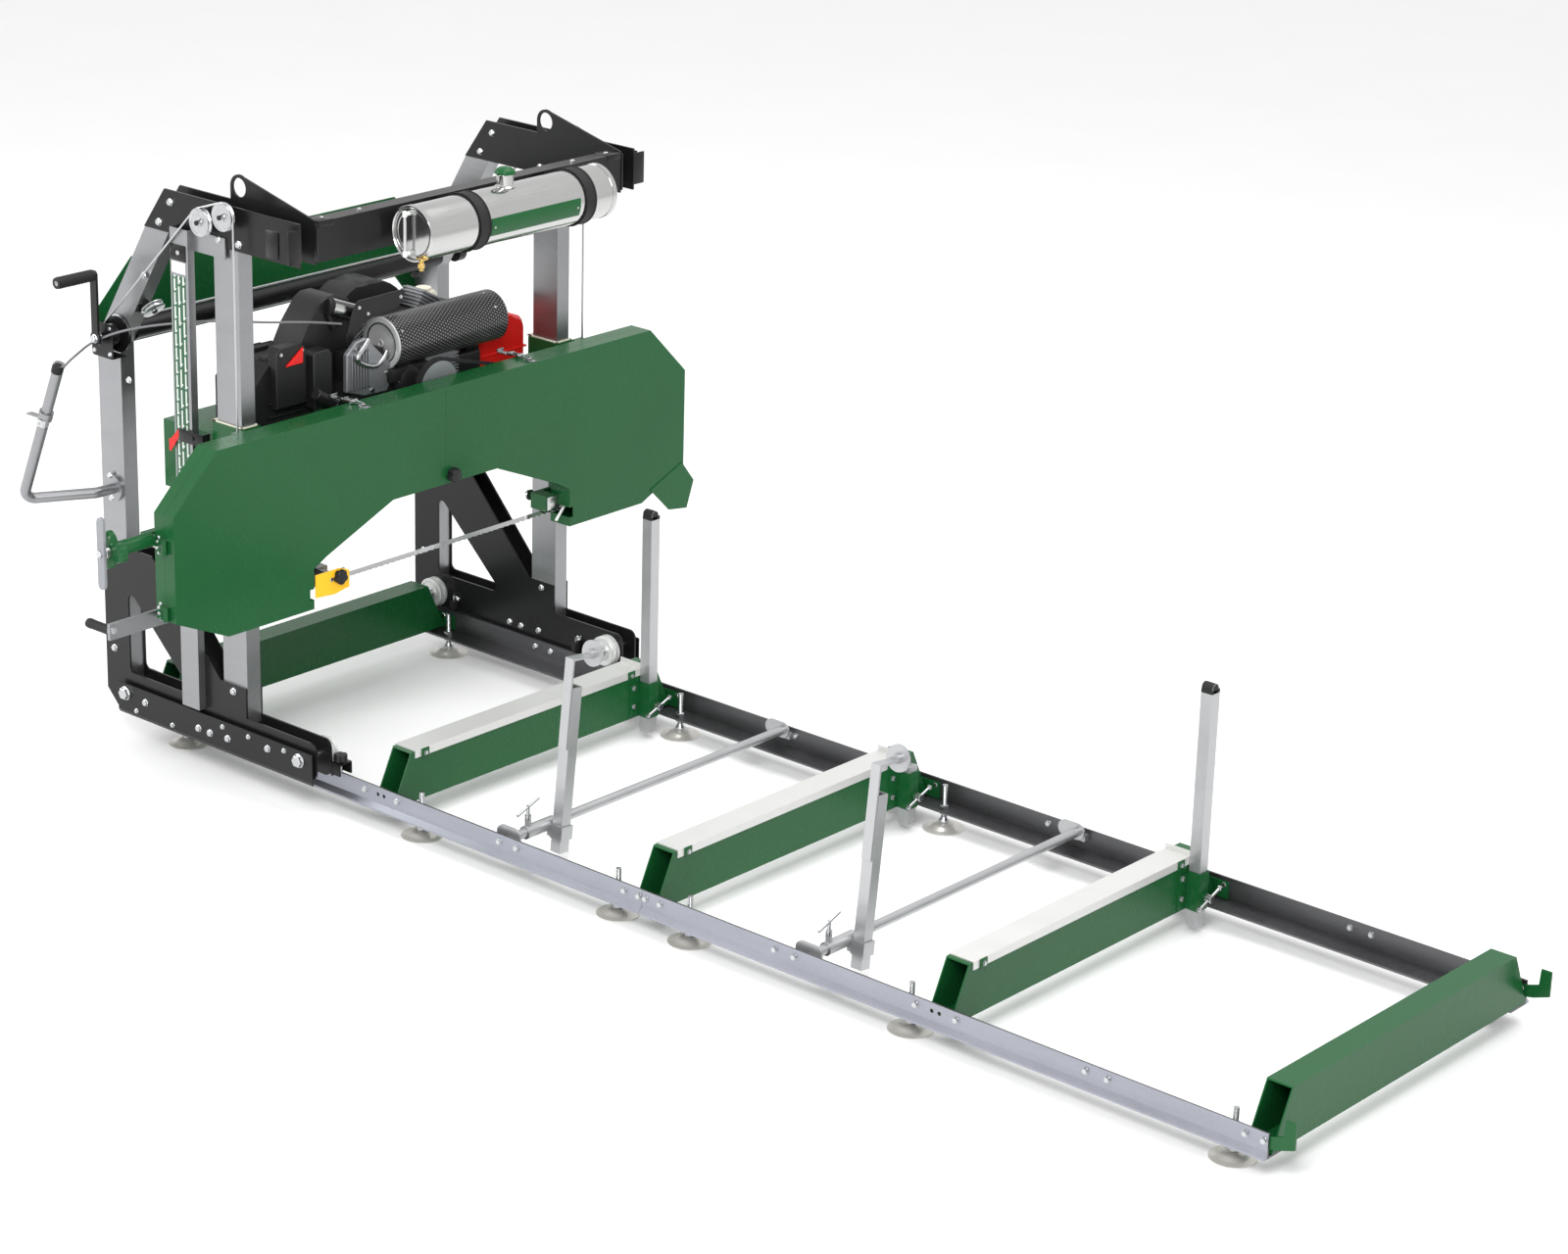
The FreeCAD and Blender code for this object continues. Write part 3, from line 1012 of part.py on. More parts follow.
def band_wheel(side):
    """A dished band wheel with lightening holes, a hub and a bore."""
    centre = S.wheel_place * side
    middle = S.blade_back + S.blade_width * 0.5
    half = S.band_wheel_width * 0.5
    rim = tube("x", S.band_wheel - S.blade_thick, S.band_wheel - S.band_wheel_width, span(middle, half),
               centre, S.wheel_height)
    web = rod("x", S.band_wheel - S.band_wheel_width * 0.5, span(middle, S.band_web * 0.5), centre,
              S.wheel_height)
    hub = rod("x", S.band_hub, span(middle, half), centre, S.wheel_height)
    holes = []
    ring = (S.band_hub + S.band_wheel - S.band_wheel_width) * 0.5
    for step in range(6):
        turn = math.radians(step * 60)
        holes.append(rod("x", S.band_spoke_hole, span(middle, half), centre + ring * math.cos(turn),
                         S.wheel_height + ring * math.sin(turn)))
    bore = rod("x", S.band_shaft + S.running_clearance, span(middle, half * 2), centre, S.wheel_height)
    return cut(fuse(rim, cut(web, *holes), hub), bore)


def blade_shape():
    """The toothed band around both wheels, teeth towards the free end of the track."""
    radius = float(S.band_wheel)
    half = float(S.wheel_place)
    thick = float(S.blade_thick)
    back = float(S.blade_back)
    width = float(S.blade_width)
    z = float(S.wheel_height)

    def loop(distance):
        points = [FreeCAD.Vector(0, -half, z - distance), FreeCAD.Vector(0, half, z - distance),
                  FreeCAD.Vector(0, half + distance, z), FreeCAD.Vector(0, half, z + distance),
                  FreeCAD.Vector(0, -half, z + distance), FreeCAD.Vector(0, -half - distance, z)]
        return Part.Wire([
            Part.LineSegment(points[0], points[1]).toShape(),
            Part.Arc(points[1], points[2], points[3]).toShape(),
            Part.LineSegment(points[3], points[4]).toShape(),
            Part.Arc(points[4], points[5], points[0]).toShape()])

    ring = Part.Face(loop(radius + thick * 0.5)).cut(Part.Face(loop(radius - thick * 0.5)))
    band = ring.extrude(FreeCAD.Vector(width, 0, 0))
    band.translate(FreeCAD.Vector(back, 0, 0))
    count = int(2 * half / float(S.blade_pitch))
    pitch = 2 * half / count
    tip = back + width
    depth = float(S.blade_tooth)
    edge = []
    for number in range(count):
        y = -half + number * pitch
        edge += [FreeCAD.Vector(tip, y, 0), FreeCAD.Vector(tip - depth, y + pitch * 0.3, 0),
                 FreeCAD.Vector(tip - depth * 0.6, y + pitch * 0.7, 0)]
    edge += [FreeCAD.Vector(tip, half, 0), FreeCAD.Vector(tip + depth, half, 0),
             FreeCAD.Vector(tip + depth, -half, 0), FreeCAD.Vector(tip, -half, 0)]
    gullets = Part.Face(Part.makePolygon(edge))
    low = gullets.extrude(FreeCAD.Vector(0, 0, thick * 4))
    low.translate(FreeCAD.Vector(0, 0, z - radius - thick * 2))
    return band.cut(low)


def head():
    """The head frame with its post sleeves, the band wheels, the guides and the tension gear."""
    front_edge = S.front_post_back + S.front_post_depth
    liner = S.liner_clearance + S.sleeve_liner
    beam_back = front_edge + liner + S.sleeve_plate
    beam_front = beam_back + S.head_beam_depth
    beam_z = (S.head_beam_bottom, S.head_beam_top)
    beam = box_tube("y", S.head_beam_wall, (beam_back, beam_front), (-S.head_beam_end, S.head_beam_end),
                    beam_z)
    tube_in = S.side_inner + S.side_plate
    tube_out = S.side_outer - S.side_plate
    x_pair = (S.front_post_back - liner - S.sleeve_plate, beam_back)
    sleeves = []
    liners = []
    for side in SIDES:
        hole = sorted([(tube_in - liner) * side, (tube_out + liner) * side], key=float)
        skin = (hole[0] - S.sleeve_plate, hole[1] + S.sleeve_plate)
        hole_x = (x_pair[0] + S.sleeve_plate, beam_back - S.sleeve_plate)
        lug = sorted([(tube_out + liner) * side, (S.pulley_line + S.cable_lug) * side], key=float)
        sleeves.append(fuse(
            cut(box(x_pair, skin, (S.sleeve_low, S.sleeve_high)),
                box(hole_x, hole, (S.sleeve_low - S.cut_over, S.sleeve_high + S.cut_over))),
            box((hole_x[1], hole_x[1] + S.cable_lug * 2), lug, (S.sleeve_high - S.cable_lug, S.sleeve_high))))
        for low in (S.sleeve_low, S.sleeve_high - S.liner_height):
            post = sorted([(tube_in - S.liner_clearance) * side, (tube_out + S.liner_clearance) * side],
                          key=float)
            liners.append(cut(
                box(hole_x, hole, (low, low + S.liner_height)),
                box((S.front_post_back - S.liner_clearance, front_edge + S.liner_clearance), post,
                    (low - S.cut_over, low + S.liner_height + S.cut_over))))
    inside = tube_in - liner - S.sleeve_plate
    deck_top = S.engine_plate_line + S.engine_plate_thick
    deck = box((S.engine_plate_back, beam_back), (-inside, inside), (S.engine_plate_line, deck_top))
    gussets = []
    stands = []
    for side in SIDES:
        thick = sorted([(inside - S.sleeve_plate) * side, inside * side], key=float)
        gussets.append(box((S.engine_plate_back, beam_back), thick, (S.head_beam_bottom, deck_top)))
        for line in (S.head_beam_end - S.stand_half, S.cover_foot + S.stand_half):
            stands.append(box((beam_front, S.cover_back), span(line * side, S.stand_half),
                              (S.head_beam_bottom, S.head_beam_bottom + S.stand_half * 2)))
    slot = S.slide_clearance
    clamp_y = (S.guide_clamp_out, S.guide_clamp_out + S.guide_clamp_length)
    bar_x = (S.guide_back, S.guide_back + S.guide_thick)
    wall = S.sleeve_plate
    clamp = box_tube("y", wall, (bar_x[0] - slot - wall, bar_x[1] + slot + wall), clamp_y,
                     (S.guide_low - slot - wall, S.guide_high + slot + wall))
    hanger = box((beam_back, beam_back + wall), clamp_y, (S.guide_low - slot - wall, S.head_beam_bottom + wall))
    lip = box((beam_back, bar_x[0] - slot), clamp_y, (S.guide_high + slot, S.guide_high + slot + wall))
    gibs = [box((beam_front, beam_front + S.gib_depth), span(-S.wheel_place, S.idler_half * 2), pair)
            for pair in ((S.head_beam_bottom, S.wheel_height - S.idler_half),
                         (S.wheel_height + S.idler_half + S.touch_gap * 2, S.head_beam_top))]
    ear_out = -S.cover_side - S.touch_gap
    tension_z = span(S.tension_line, S.stand_half)
    yoke = box((beam_back, beam_front), (ear_out - wall * 2, -S.head_beam_end + wall), tension_z)
    ear = box((beam_back, S.tension_place + S.tension_tube), (ear_out - wall * 2, ear_out), tension_z)
    sheath = rod("y", S.tension_tube, S.tension_place, (-S.tension_out + S.tension_hub_length, ear_out - wall),
                 S.tension_line)
    bore = rod("y", S.tension_screw + S.running_clearance, S.tension_place,
               (-S.tension_out, ear_out + S.cut_over), S.tension_line)
    part("head_frame", fuse(beam, *sleeves, deck, *gussets, *stands, clamp, hanger, lip, *gibs, yoke,
                            cut(fuse(ear, sheath), bore)), *liners)

    middle = S.blade_back + S.blade_width * 0.5
    half = S.band_wheel_width * 0.5
    part("idler_wheel", band_wheel(-1))
    pulley_x = (beam_front + S.belt_gap, beam_front + S.belt_gap + S.belt_width)
    shaft = fuse(
        rod("x", S.band_shaft, (beam_front + S.touch_gap, middle + half), S.wheel_place, S.wheel_height),
        rod("x", S.driven_pulley - S.belt_thick * 0.5, pulley_x, S.wheel_place, S.wheel_height))
    part("drive_wheel", band_wheel(1), shaft)
    block = fuse(
        box((beam_front + S.touch_gap, beam_front + S.gib_depth), span(-S.wheel_place, S.idler_half),
            (S.wheel_height - S.idler_half + S.touch_gap, S.wheel_height + S.idler_half + S.touch_gap)),
        rod("x", S.band_shaft, (beam_front + S.gib_depth, middle + half), -S.wheel_place, S.wheel_height))
    part("idler_block", block)
    part("engine_pulley", fuse(
        rod("x", S.engine_pulley_radius - S.belt_thick * 0.5, pulley_x, S.engine_pulley_place, S.engine_pulley_line),
        rod("x", S.band_shaft, (S.engine_front + S.touch_gap, pulley_x[1]), S.engine_pulley_place,
            S.engine_pulley_line)))
    shaped("drive_belt", belt_shape(pulley_x[0]))

    screw_end = -S.wheel_place - S.idler_half - S.touch_gap * 2 - S.tension_travel
    hub = rod("y", S.tension_hub, S.tension_place,
              (-S.tension_out, -S.tension_out + S.tension_hub_length - S.touch_gap), S.tension_line)
    screw = rod("y", S.tension_screw, S.tension_place, (-S.tension_out, screw_end), S.tension_line)
    bar = rod("z", S.tension_bar, S.tension_place, -S.tension_out - S.tension_bar,
              span(S.tension_line, S.tension_bar_half))
    arms = []
    for step in range(3):
        arm = box(span(0, S.tension_screw * 0.5), (-S.tension_out, S.tension_hub_length * 0.5 - S.tension_out),
                  (0, S.tension_bar_half * 0.6))
        arms.append(turned(arm, "y", 120 * step, S.tension_place, 0, S.tension_line))
    part("tension_handle", fuse(hub, screw, bar, *arms))

    shoe_x = (bar_x[0], middle - S.blade_width * 0.5 + S.blade_width * 0.8)
    shoe_low = S.wheel_height - S.band_wheel + S.guide_roller_gap
    shoe_y = (-S.guide_shoe_in - S.guide_bracket, -S.guide_shoe_in)
    knob_y = -S.guide_shoe_in
    guard_x = (S.shield_place, S.shield_place + S.shield_thick)
    arm = fuse(
        box(bar_x, (-S.guide_out, shoe_y[1]), (S.guide_low, S.guide_high)),
        box(shoe_x, shoe_y, (shoe_low, S.guide_high)),
        box((shoe_x[1], guard_x[0]), (shoe_y[0], shoe_y[0] + S.guide_roller),
            (S.guide_low + S.guide_roller, S.guide_high - S.shield_thick)))
    grip = rod("x", S.guide_grip, (bar_x[0] - S.guide_grip_length, bar_x[0]),
               -S.guide_out + S.guide_grip, (S.guide_low + S.guide_high) * 0.5)
    shield = plate("x", *guard_x, [
        (-S.shield_out, S.shield_low), (-S.shield_in, S.shield_low), (-S.shield_in - S.guide_roller, S.shield_high),
        (-S.shield_out, S.shield_high)])
    knob = rod("x", S.shield_knob, (guard_x[1], guard_x[1] + S.shield_knob_length), knob_y,
               S.guide_low + S.guide_roller + S.guide_thick)
    part("guide_arm", arm, grip, shield, knob)
    far_y = (S.far_guide_in, S.far_guide_in + S.guide_bracket)
    part("far_guide", fuse(
        box(shoe_x, far_y, (shoe_low, S.guide_high)),
        box(bar_x, (far_y[0], S.far_guide_out + S.guide_bracket), (S.guide_low, S.guide_high)),
        box((beam_back, bar_x[0] + S.sleeve_plate * 0.5),
            (S.far_guide_out, S.far_guide_out + S.guide_bracket * 0.75), (S.guide_low, S.head_beam_bottom))))
    shaped("saw_blade", blade_shape())


def belt_loop(small, large, distance, x):
    """The closed path around two pulleys, offset outwards by a distance."""
    (ya, za, ra), (yb, zb, rb) = small, large
    ra += distance
    rb += distance
    gap = math.hypot(yb - ya, zb - za)
    along = math.atan2(zb - za, yb - ya)
    tilt = math.acos((ra - rb) / gap)
    spots = {}
    for side in SIDES:
        turn = along + side * tilt
        spots[side] = (FreeCAD.Vector(x, ya + ra * math.cos(turn), za + ra * math.sin(turn)),
                       FreeCAD.Vector(x, yb + rb * math.cos(turn), zb + rb * math.sin(turn)))
    back = FreeCAD.Vector(x, ya - ra * math.cos(along), za - ra * math.sin(along))
    front = FreeCAD.Vector(x, yb + rb * math.cos(along), zb + rb * math.sin(along))
    return Part.Wire([
        Part.LineSegment(spots[1][0], spots[1][1]).toShape(),
        Part.Arc(spots[1][1], front, spots[-1][1]).toShape(),
        Part.LineSegment(spots[-1][1], spots[-1][0]).toShape(),
        Part.Arc(spots[-1][0], back, spots[1][0]).toShape()])


def belt_shape(start):
    """The flat side of a wedge belt around the engine pulley and the driven pulley."""
    half = float(S.belt_thick) * 0.5
    inner = half - float(S.touch_gap) * 0.5
    small = (float(S.engine_pulley_place), float(S.engine_pulley_line), float(S.engine_pulley_radius))
    large = (float(S.wheel_place), float(S.wheel_height), float(S.driven_pulley))
    x = float(start)
    ring = Part.Face(belt_loop(small, large, half, x)).cut(Part.Face(belt_loop(small, large, -inner, x)))
    return ring.extrude(FreeCAD.Vector(float(S.belt_width), 0, 0))


def power_unit():
    """Engine, muffler, fuel tank and battery box on the head's deck."""
    deck = S.engine_plate_line + S.engine_plate_thick
    middle = (S.engine_near + S.engine_far) * 0.5
    fan_x = (S.engine_back, S.engine_back + S.shroud_depth)
    fan_line = S.shroud_top - S.shroud_radius
    foot_y = span(middle, S.shroud_radius * 0.8)
    block = box((fan_x[1], S.engine_front), (S.engine_near, S.engine_far), (deck, S.engine_top))
    boss = rod("x", S.engine_boss, (S.engine_front - S.cut_over, S.engine_front), S.engine_pulley_place,
               S.engine_pulley_line)
    foot = box(fan_x, foot_y, (deck, S.engine_top))
    heads = []
    for step in SIDES:
        centre = middle + (S.engine_far - S.engine_near) * 0.25 * step
        lift = S.hood_top - S.head_rise * 0.5
        start = fan_x[1] + S.head_half * 1.05
        heads.append(turned(box((-S.head_half, S.head_half), (-S.head_half, S.head_half), (0, S.head_rise)),
                            "x", -S.head_lean * step, start, centre, lift))
        for number in range(1, 8):
            level = S.head_rise * (number / 8)
            reach = S.head_half + S.fin_reach
            heads.append(turned(box((-S.head_half, S.head_half), (-reach, reach), (level, level + S.fin_thick)),
                                "x", -S.head_lean * step, start, centre, lift))
    hood = box((fan_x[1], S.hood_front), (S.engine_near, S.engine_far), (deck, S.hood_top))
    near_block = box((S.block_back, S.engine_front), (S.engine_near, S.block_far), (deck, S.hood_top))
    cradles = [cut(box(span(S.muffler_place, S.cradle_half), span(line, S.canister_radius * 0.5),
                       (S.engine_top, S.muffler_line - S.muffler_radius * 0.9)),
                   rod("y", S.muffler_radius - S.muffler_wall + S.touch_gap, S.muffler_place,
                       (S.muffler_near, S.muffler_far), S.muffler_line))
               for line in (S.muffler_near + S.cradle_inset, S.muffler_far - S.cradle_inset * 2)]
    core = fuse(block, boss, foot, hood, near_block, *heads, *cradles)
    screen = rod("x", S.screen_radius, (fan_x[0] - S.cut_over, fan_x[0] + S.screen_depth), middle, fan_line)
    shroud = cut(rod("x", S.shroud_radius, fan_x, middle, fan_line), screen,
                 box((fan_x[0] - S.cut_over, fan_x[1] + S.cut_over), foot_y, (deck, S.engine_top)))
    canister = rod("y", S.canister_radius, (S.block_back + S.engine_front) * 0.5,
                   (S.block_far - S.canister_length, S.block_far), S.hood_top + S.canister_radius)
    part("engine", core, shroud, canister)
    ends = [rod("y", S.muffler_radius, S.muffler_place, pair, S.muffler_line)
            for pair in ((S.muffler_near, S.muffler_near + S.muffler_cap),
                         (S.muffler_far - S.muffler_cap, S.muffler_far))]
    shell_radius = S.muffler_radius - S.muffler_wall
    part("muffler", cut(
        fuse(rod("y", shell_radius, S.muffler_place, (S.muffler_near, S.muffler_far), S.muffler_line), *ends),
        rod("y", shell_radius - S.muffler_wall, S.muffler_place,
            (S.muffler_near + S.muffler_cap, S.muffler_far - S.muffler_cap), S.muffler_line),
        rod("y", S.muffler_radius * 0.75, S.muffler_place,
            (S.muffler_near - S.cut_over, S.muffler_near + S.muffler_cap * 0.6), S.muffler_line)))
    fuel = plate("x", S.tank2_back, S.tank2_front, [
        (S.tank2_near, deck), (S.tank2_far, deck), (S.tank2_far, S.tank2_top), (S.tank2_near, S.tank2_top)],
        (2, 3), S.tank_round)
    filler = rod("z", S.filler_radius, (S.tank2_back + S.tank2_front) * 0.5, (S.tank2_near + S.tank2_far) * 0.5,
                 (S.tank2_top, S.tank2_top + S.filler_height))
    part("fuel_tank", fuse(fuel, filler))
    lid = S.battery_top - S.battery_lid_height
    case = plate("x", S.battery_back, S.battery_front, [
        (S.battery_near, deck), (S.battery_far, deck), (S.battery_far, S.battery_top),
        (S.battery_near + S.battery_slope, S.battery_top), (S.battery_near, S.battery_top - S.battery_slope)])
    rim = box((S.battery_back - S.battery_lid, S.battery_front + S.battery_lid),
              (S.battery_near + S.battery_slope, S.battery_far), (lid, S.battery_top))
    part("battery_box", fuse(case, rim))


def tangent_run(first, second, across):
    """A tight cable on the rear upper side of two rollers, each given as place, line and radius."""
    (xa, za, ra), (xb, zb, rb) = [[float(value) for value in roller] for roller in (first, second)]
    gap = math.hypot(xb - xa, zb - za)
    along = FreeCAD.Vector((xb - xa) / gap, 0, (zb - za) / gap)
    share = (ra - rb) / gap
    outward = FreeCAD.Vector(along.z, 0, -along.x)
    normal = along * share + outward * math.sqrt(1 - share * share)
    start = FreeCAD.Vector(xa, float(across), za) + normal * ra
    end = FreeCAD.Vector(xb, float(across), zb) + normal * rb
    return Part.makeCylinder(float(S.cable_radius), (end - start).Length, start, end - start)


def cables():
    """The lift cables: down to the head sleeves, over both pulleys and down to the winding drums."""
    seat = S.cable_radius * 1.2 + S.touch_gap
    reach = S.pulley_radius - S.pulley_groove + seat
    drop_x = S.pulley_front + reach
    part("lift_cables", *[rod("z", S.cable_radius, drop_x, S.pulley_line * side, (S.sleeve_high, S.pulley_front_line))
                          for side in SIDES])
    drum = (S.crank_place, S.crank_line, S.drum_radius + S.cable_radius + S.touch_gap)
    back = (S.pulley_back, S.pulley_back_line, reach)
    front = (S.pulley_front, S.pulley_front_line, reach)
    runs = []
    for side in SIDES:
        runs.append(tangent_run(back, drum, S.pulley_line * side))
        runs.append(tangent_run(front, back, S.pulley_line * side))
    shaped("frame_cables", Part.makeCompound(runs))


def main():
    """Build every sub-part, check it and write its file."""
    track()
    log_posts()
    log_dogs()
    carriage_frame()
    carriage_wheels()
    carriage_fittings()
    covers()
    head()
    power_unit()
    cables()
    doc.recompute()
    for item in doc.Objects:
        if "Invalid" in item.State or "Error" in item.State:
            raise RuntimeError(f"{item.Name} {item.Label} failed: {item.State}")
    os.makedirs("parts", exist_ok=True)
    for item in PARTS:
        if item.Shape.isNull() or not item.Shape.isValid():
            raise RuntimeError(f"{item.Label} is not a valid shape")
        item.Shape.exportStep(f"parts/{item.Label}.step")


main()
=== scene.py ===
"""A portable band sawmill dressed for its portrait: finishes, fasteners and the small fittings."""
import logging
import math
from dataclasses import dataclass
from enum import Enum
from typing import Iterable, Iterator, Sequence

import bmesh
import bpy
from mathutils import Matrix, Vector


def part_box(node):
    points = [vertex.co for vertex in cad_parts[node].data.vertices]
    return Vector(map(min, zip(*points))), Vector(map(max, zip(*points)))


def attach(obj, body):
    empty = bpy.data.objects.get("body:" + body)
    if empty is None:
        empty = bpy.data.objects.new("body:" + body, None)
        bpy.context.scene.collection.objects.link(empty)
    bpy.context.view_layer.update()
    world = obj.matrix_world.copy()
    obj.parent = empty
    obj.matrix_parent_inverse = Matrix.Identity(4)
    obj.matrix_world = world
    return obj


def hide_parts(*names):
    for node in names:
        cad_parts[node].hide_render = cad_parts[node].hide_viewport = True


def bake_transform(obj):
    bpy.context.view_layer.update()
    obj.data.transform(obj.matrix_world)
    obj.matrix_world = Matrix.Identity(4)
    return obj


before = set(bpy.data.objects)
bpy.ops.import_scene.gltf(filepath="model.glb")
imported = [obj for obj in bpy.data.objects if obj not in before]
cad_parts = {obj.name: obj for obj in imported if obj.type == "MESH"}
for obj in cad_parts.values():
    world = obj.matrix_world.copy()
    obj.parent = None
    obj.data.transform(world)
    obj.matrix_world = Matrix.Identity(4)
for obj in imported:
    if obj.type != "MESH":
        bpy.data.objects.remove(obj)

LOG = logging.getLogger("sawmill")
MM = 0.001
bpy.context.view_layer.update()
SHARP_ANGLE = math.radians(32)
THREAD_STEPS = 60
Point = Sequence[float]
Outline = Sequence[tuple[float, float]]
"""Pairs across a plate, or pairs of radius and height along a lathe."""


class Way(Enum):
    """A direction that a fastener or a shaft points in."""

    LEFT = (-1, 0, 0)
    RIGHT = (1, 0, 0)
    NEAR = (0, -1, 0)
    FAR = (0, 1, 0)
    UP = (0, 0, 1)


SIDES = ((-1, Way.NEAR, Way.FAR), (1, Way.FAR, Way.NEAR))
"""For each side of the machine: its sign, the way out and the way back in."""


class Tone(Enum):
    """The colours of the machine, in linear light."""

    GREEN = (0.007, 0.078, 0.021)
    BLACK = (0.008, 0.008, 0.0085)
    SOOT = (0.012, 0.012, 0.0125)
    ZINC = (0.50, 0.51, 0.52)
    GALVANISED = (0.285, 0.288, 0.298)
    STAINLESS = (0.50, 0.51, 0.50)
    CHROME = (0.52, 0.52, 0.515)
    CAST = (0.30, 0.31, 0.325)
    YELLOW = (0.85, 0.48, 0.02)
    RED = (0.62, 0.012, 0.010)
    WHITE = (0.78, 0.80, 0.78)
    BRASS = (0.62, 0.42, 0.14)
    CREAM = (0.66, 0.63, 0.52)
    SHEATH = (0.16, 0.16, 0.17)
    SATIN = (0.60, 0.61, 0.60)
    RAIL = (0.30, 0.31, 0.35)
    # Darker zinc for the rails' inner faces: painted shade, the same steel where it gets less light.
    SHADED_INNER_RAIL = (0.115, 0.115, 0.12)
    # Brighter than plain stainless: a painted reflection on the bunk caps' tops.
    CAP_PAINTED_REFLECTION = (0.62, 0.62, 0.605)
    DISH = (0.66, 0.645, 0.60)
    PIPE = (0.43, 0.435, 0.445)
    CLEAR = (0.72, 0.74, 0.72)
    MILKY = (0.74, 0.70, 0.58)
    # Light grey for the muffler's holes: painted light seen through them, with painted glints.
    PAINTED_HOLE_LIGHT = (0.34, 0.34, 0.34)
    RULE = (0.012, 0.075, 0.03)
    INK = (0.62, 0.66, 0.62)
    FLOOR = (0.9, 0.9, 0.9)
    FLOOR_CLOUD = (0.93, 0.93, 0.93)

    def shade(self, share: float) -> Vector:
        """The colour made darker or lighter."""
        return Vector(self.value) * share


class Value:
    """A shader socket that Python's operators turn into Math nodes."""

    def __init__(self, tree: bpy.types.NodeTree, socket: bpy.types.NodeSocket) -> None:
        self.tree = tree
        self.socket = socket

    def _math(self, operation: str, first: object, second: object) -> "Value":
        """One Math node.

        Args:
            operation: the node's operation.
            first: a value or a number.
            second: a value or a number.
        Returns:
            The node's result.
        """
        return Shader(self.tree).math(operation, first, second)

    def __add__(self, other: object) -> "Value":
        """The sum."""
        return self._math("ADD", self, other)

    def __radd__(self, other: object) -> "Value":
        """The sum, from the right."""
        return self._math("ADD", other, self)

    def __sub__(self, other: object) -> "Value":
        """The difference."""
        return self._math("SUBTRACT", self, other)

    def __rsub__(self, other: object) -> "Value":
        """The difference, from the right."""
        return self._math("SUBTRACT", other, self)

    def __mul__(self, other: object) -> "Value":
        """The product."""
        return self._math("MULTIPLY", self, other)

    def __rmul__(self, other: object) -> "Value":
        """The product, from the right."""
        return self._math("MULTIPLY", other, self)

    def __pow__(self, power: object) -> "Value":
        """The power."""
        return self._math("POWER", self, power)

    def __gt__(self, limit: object) -> "Value":
        """One where the value is over the limit."""
        return self._math("GREATER_THAN", self, limit)

    def __lt__(self, limit: object) -> "Value":
        """One where the value is under the limit."""
        return self._math("LESS_THAN", self, limit)


class Shader:
    """A material's node tree and the one method that adds a node to it."""

    def __init__(self, tree: bpy.types.NodeTree) -> None:
        self.tree = tree

    def node(self, kind: str, settings: dict, inputs: dict, output: object = 0) -> Value:
        """Add a node, set it up and feed it.

        Args:
            kind: the node's type.
            settings: its own properties, set first.
            inputs: values or links of its sockets, by name or number.
            output: the socket to hand back.
        Returns:
            The chosen output.
        """
        made = self.tree.nodes.new(kind)
        for name, value in settings.items():
            setattr(made, name, value)
        for name, value in inputs.items():
            self._set(made.inputs[name], value)
        return Value(self.tree, made.outputs[output])

    def _set(self, socket: bpy.types.NodeSocket, value: object) -> None:
        """Link a value to a socket, or store a constant there."""
        if isinstance(value, Value):
            self.tree.links.new(value.socket, socket)
        else:
            socket.default_value = value

    def feed(self, **inputs: object) -> None:
        """Set or link the main shader's sockets; an underscore stands for a space."""
        main = self.tree.nodes["Principled BSDF"]
        for name, value in inputs.items():
            self._set(main.inputs[name.replace("_", " ")], value)

    def math(self, operation: str, first: object, second: object = 0.0) -> Value:
        """The result of one Math node."""
        return self.node("ShaderNodeMath", {"operation": operation}, {0: first, 1: second})

    def place(self) -> Value:
        """The point on the surface, in metres."""
        return self.node("ShaderNodeTexCoord", {}, {}, "Object")

    def stretched(self, scale: tuple[float, float, float]) -> Value:
        """The point on the surface with each axis scaled."""
        return self.node("ShaderNodeMapping", {}, {"Vector": self.place(), "Scale": scale})

    def noise(self, scale: float, detail: float = 3.0, point: Value | None = None) -> Value:
        """A cloud of values between 0 and 1."""
        return self.node("ShaderNodeTexNoise", {}, {
            "Vector": point or self.place(), "Scale": scale, "Detail": detail}, "Fac")

    def cells(self, scale: float, point: Value) -> Value:
        """Patches of even value, as zinc crystals make."""
        cell = self.node("ShaderNodeTexVoronoi", {}, {"Vector": point, "Scale": scale}, "Color")
        return self.node("ShaderNodeSeparateColor", {}, {0: cell}, 0)

    def axis(self, name: str) -> Value:
        """One coordinate of the point on the surface, in metres."""
        return self.node("ShaderNodeSeparateXYZ", {}, {0: self.place()}, name)

    def blend(self, share: object, low: object, high: object) -> Value:
        """A colour between two colours, each a value, a tone or a vector."""
        def full(colour: object) -> object:
            if isinstance(colour, Value):
                return colour
            return (*(colour.value if isinstance(colour, Tone) else colour), 1.0)
        return self.node("ShaderNodeMix", {"data_type": "RGBA"}, {0: share, 6: full(low), 7: full(high)}, 2)

    def bump(self, height: Value, distance: float, strength: float = 1.0) -> Value:
        """A normal from a height."""
        return self.node("ShaderNodeBump", {}, {
            "Height": height, "Distance": distance, "Strength": strength}, "Normal")


@dataclass(frozen=True)
class Recipe:
    """A finish before it is made."""

    name: str
    tone: Tone

    def make(self) -> bpy.types.Material:
        """The finished material."""
        material = bpy.data.materials.new(self.name)
        material.use_nodes = True
        self.paint(Shader(material.node_tree))
        return material

    def paint(self, shader: Shader) -> None:
        """Add the finish's own nodes."""
        raise NotImplementedError


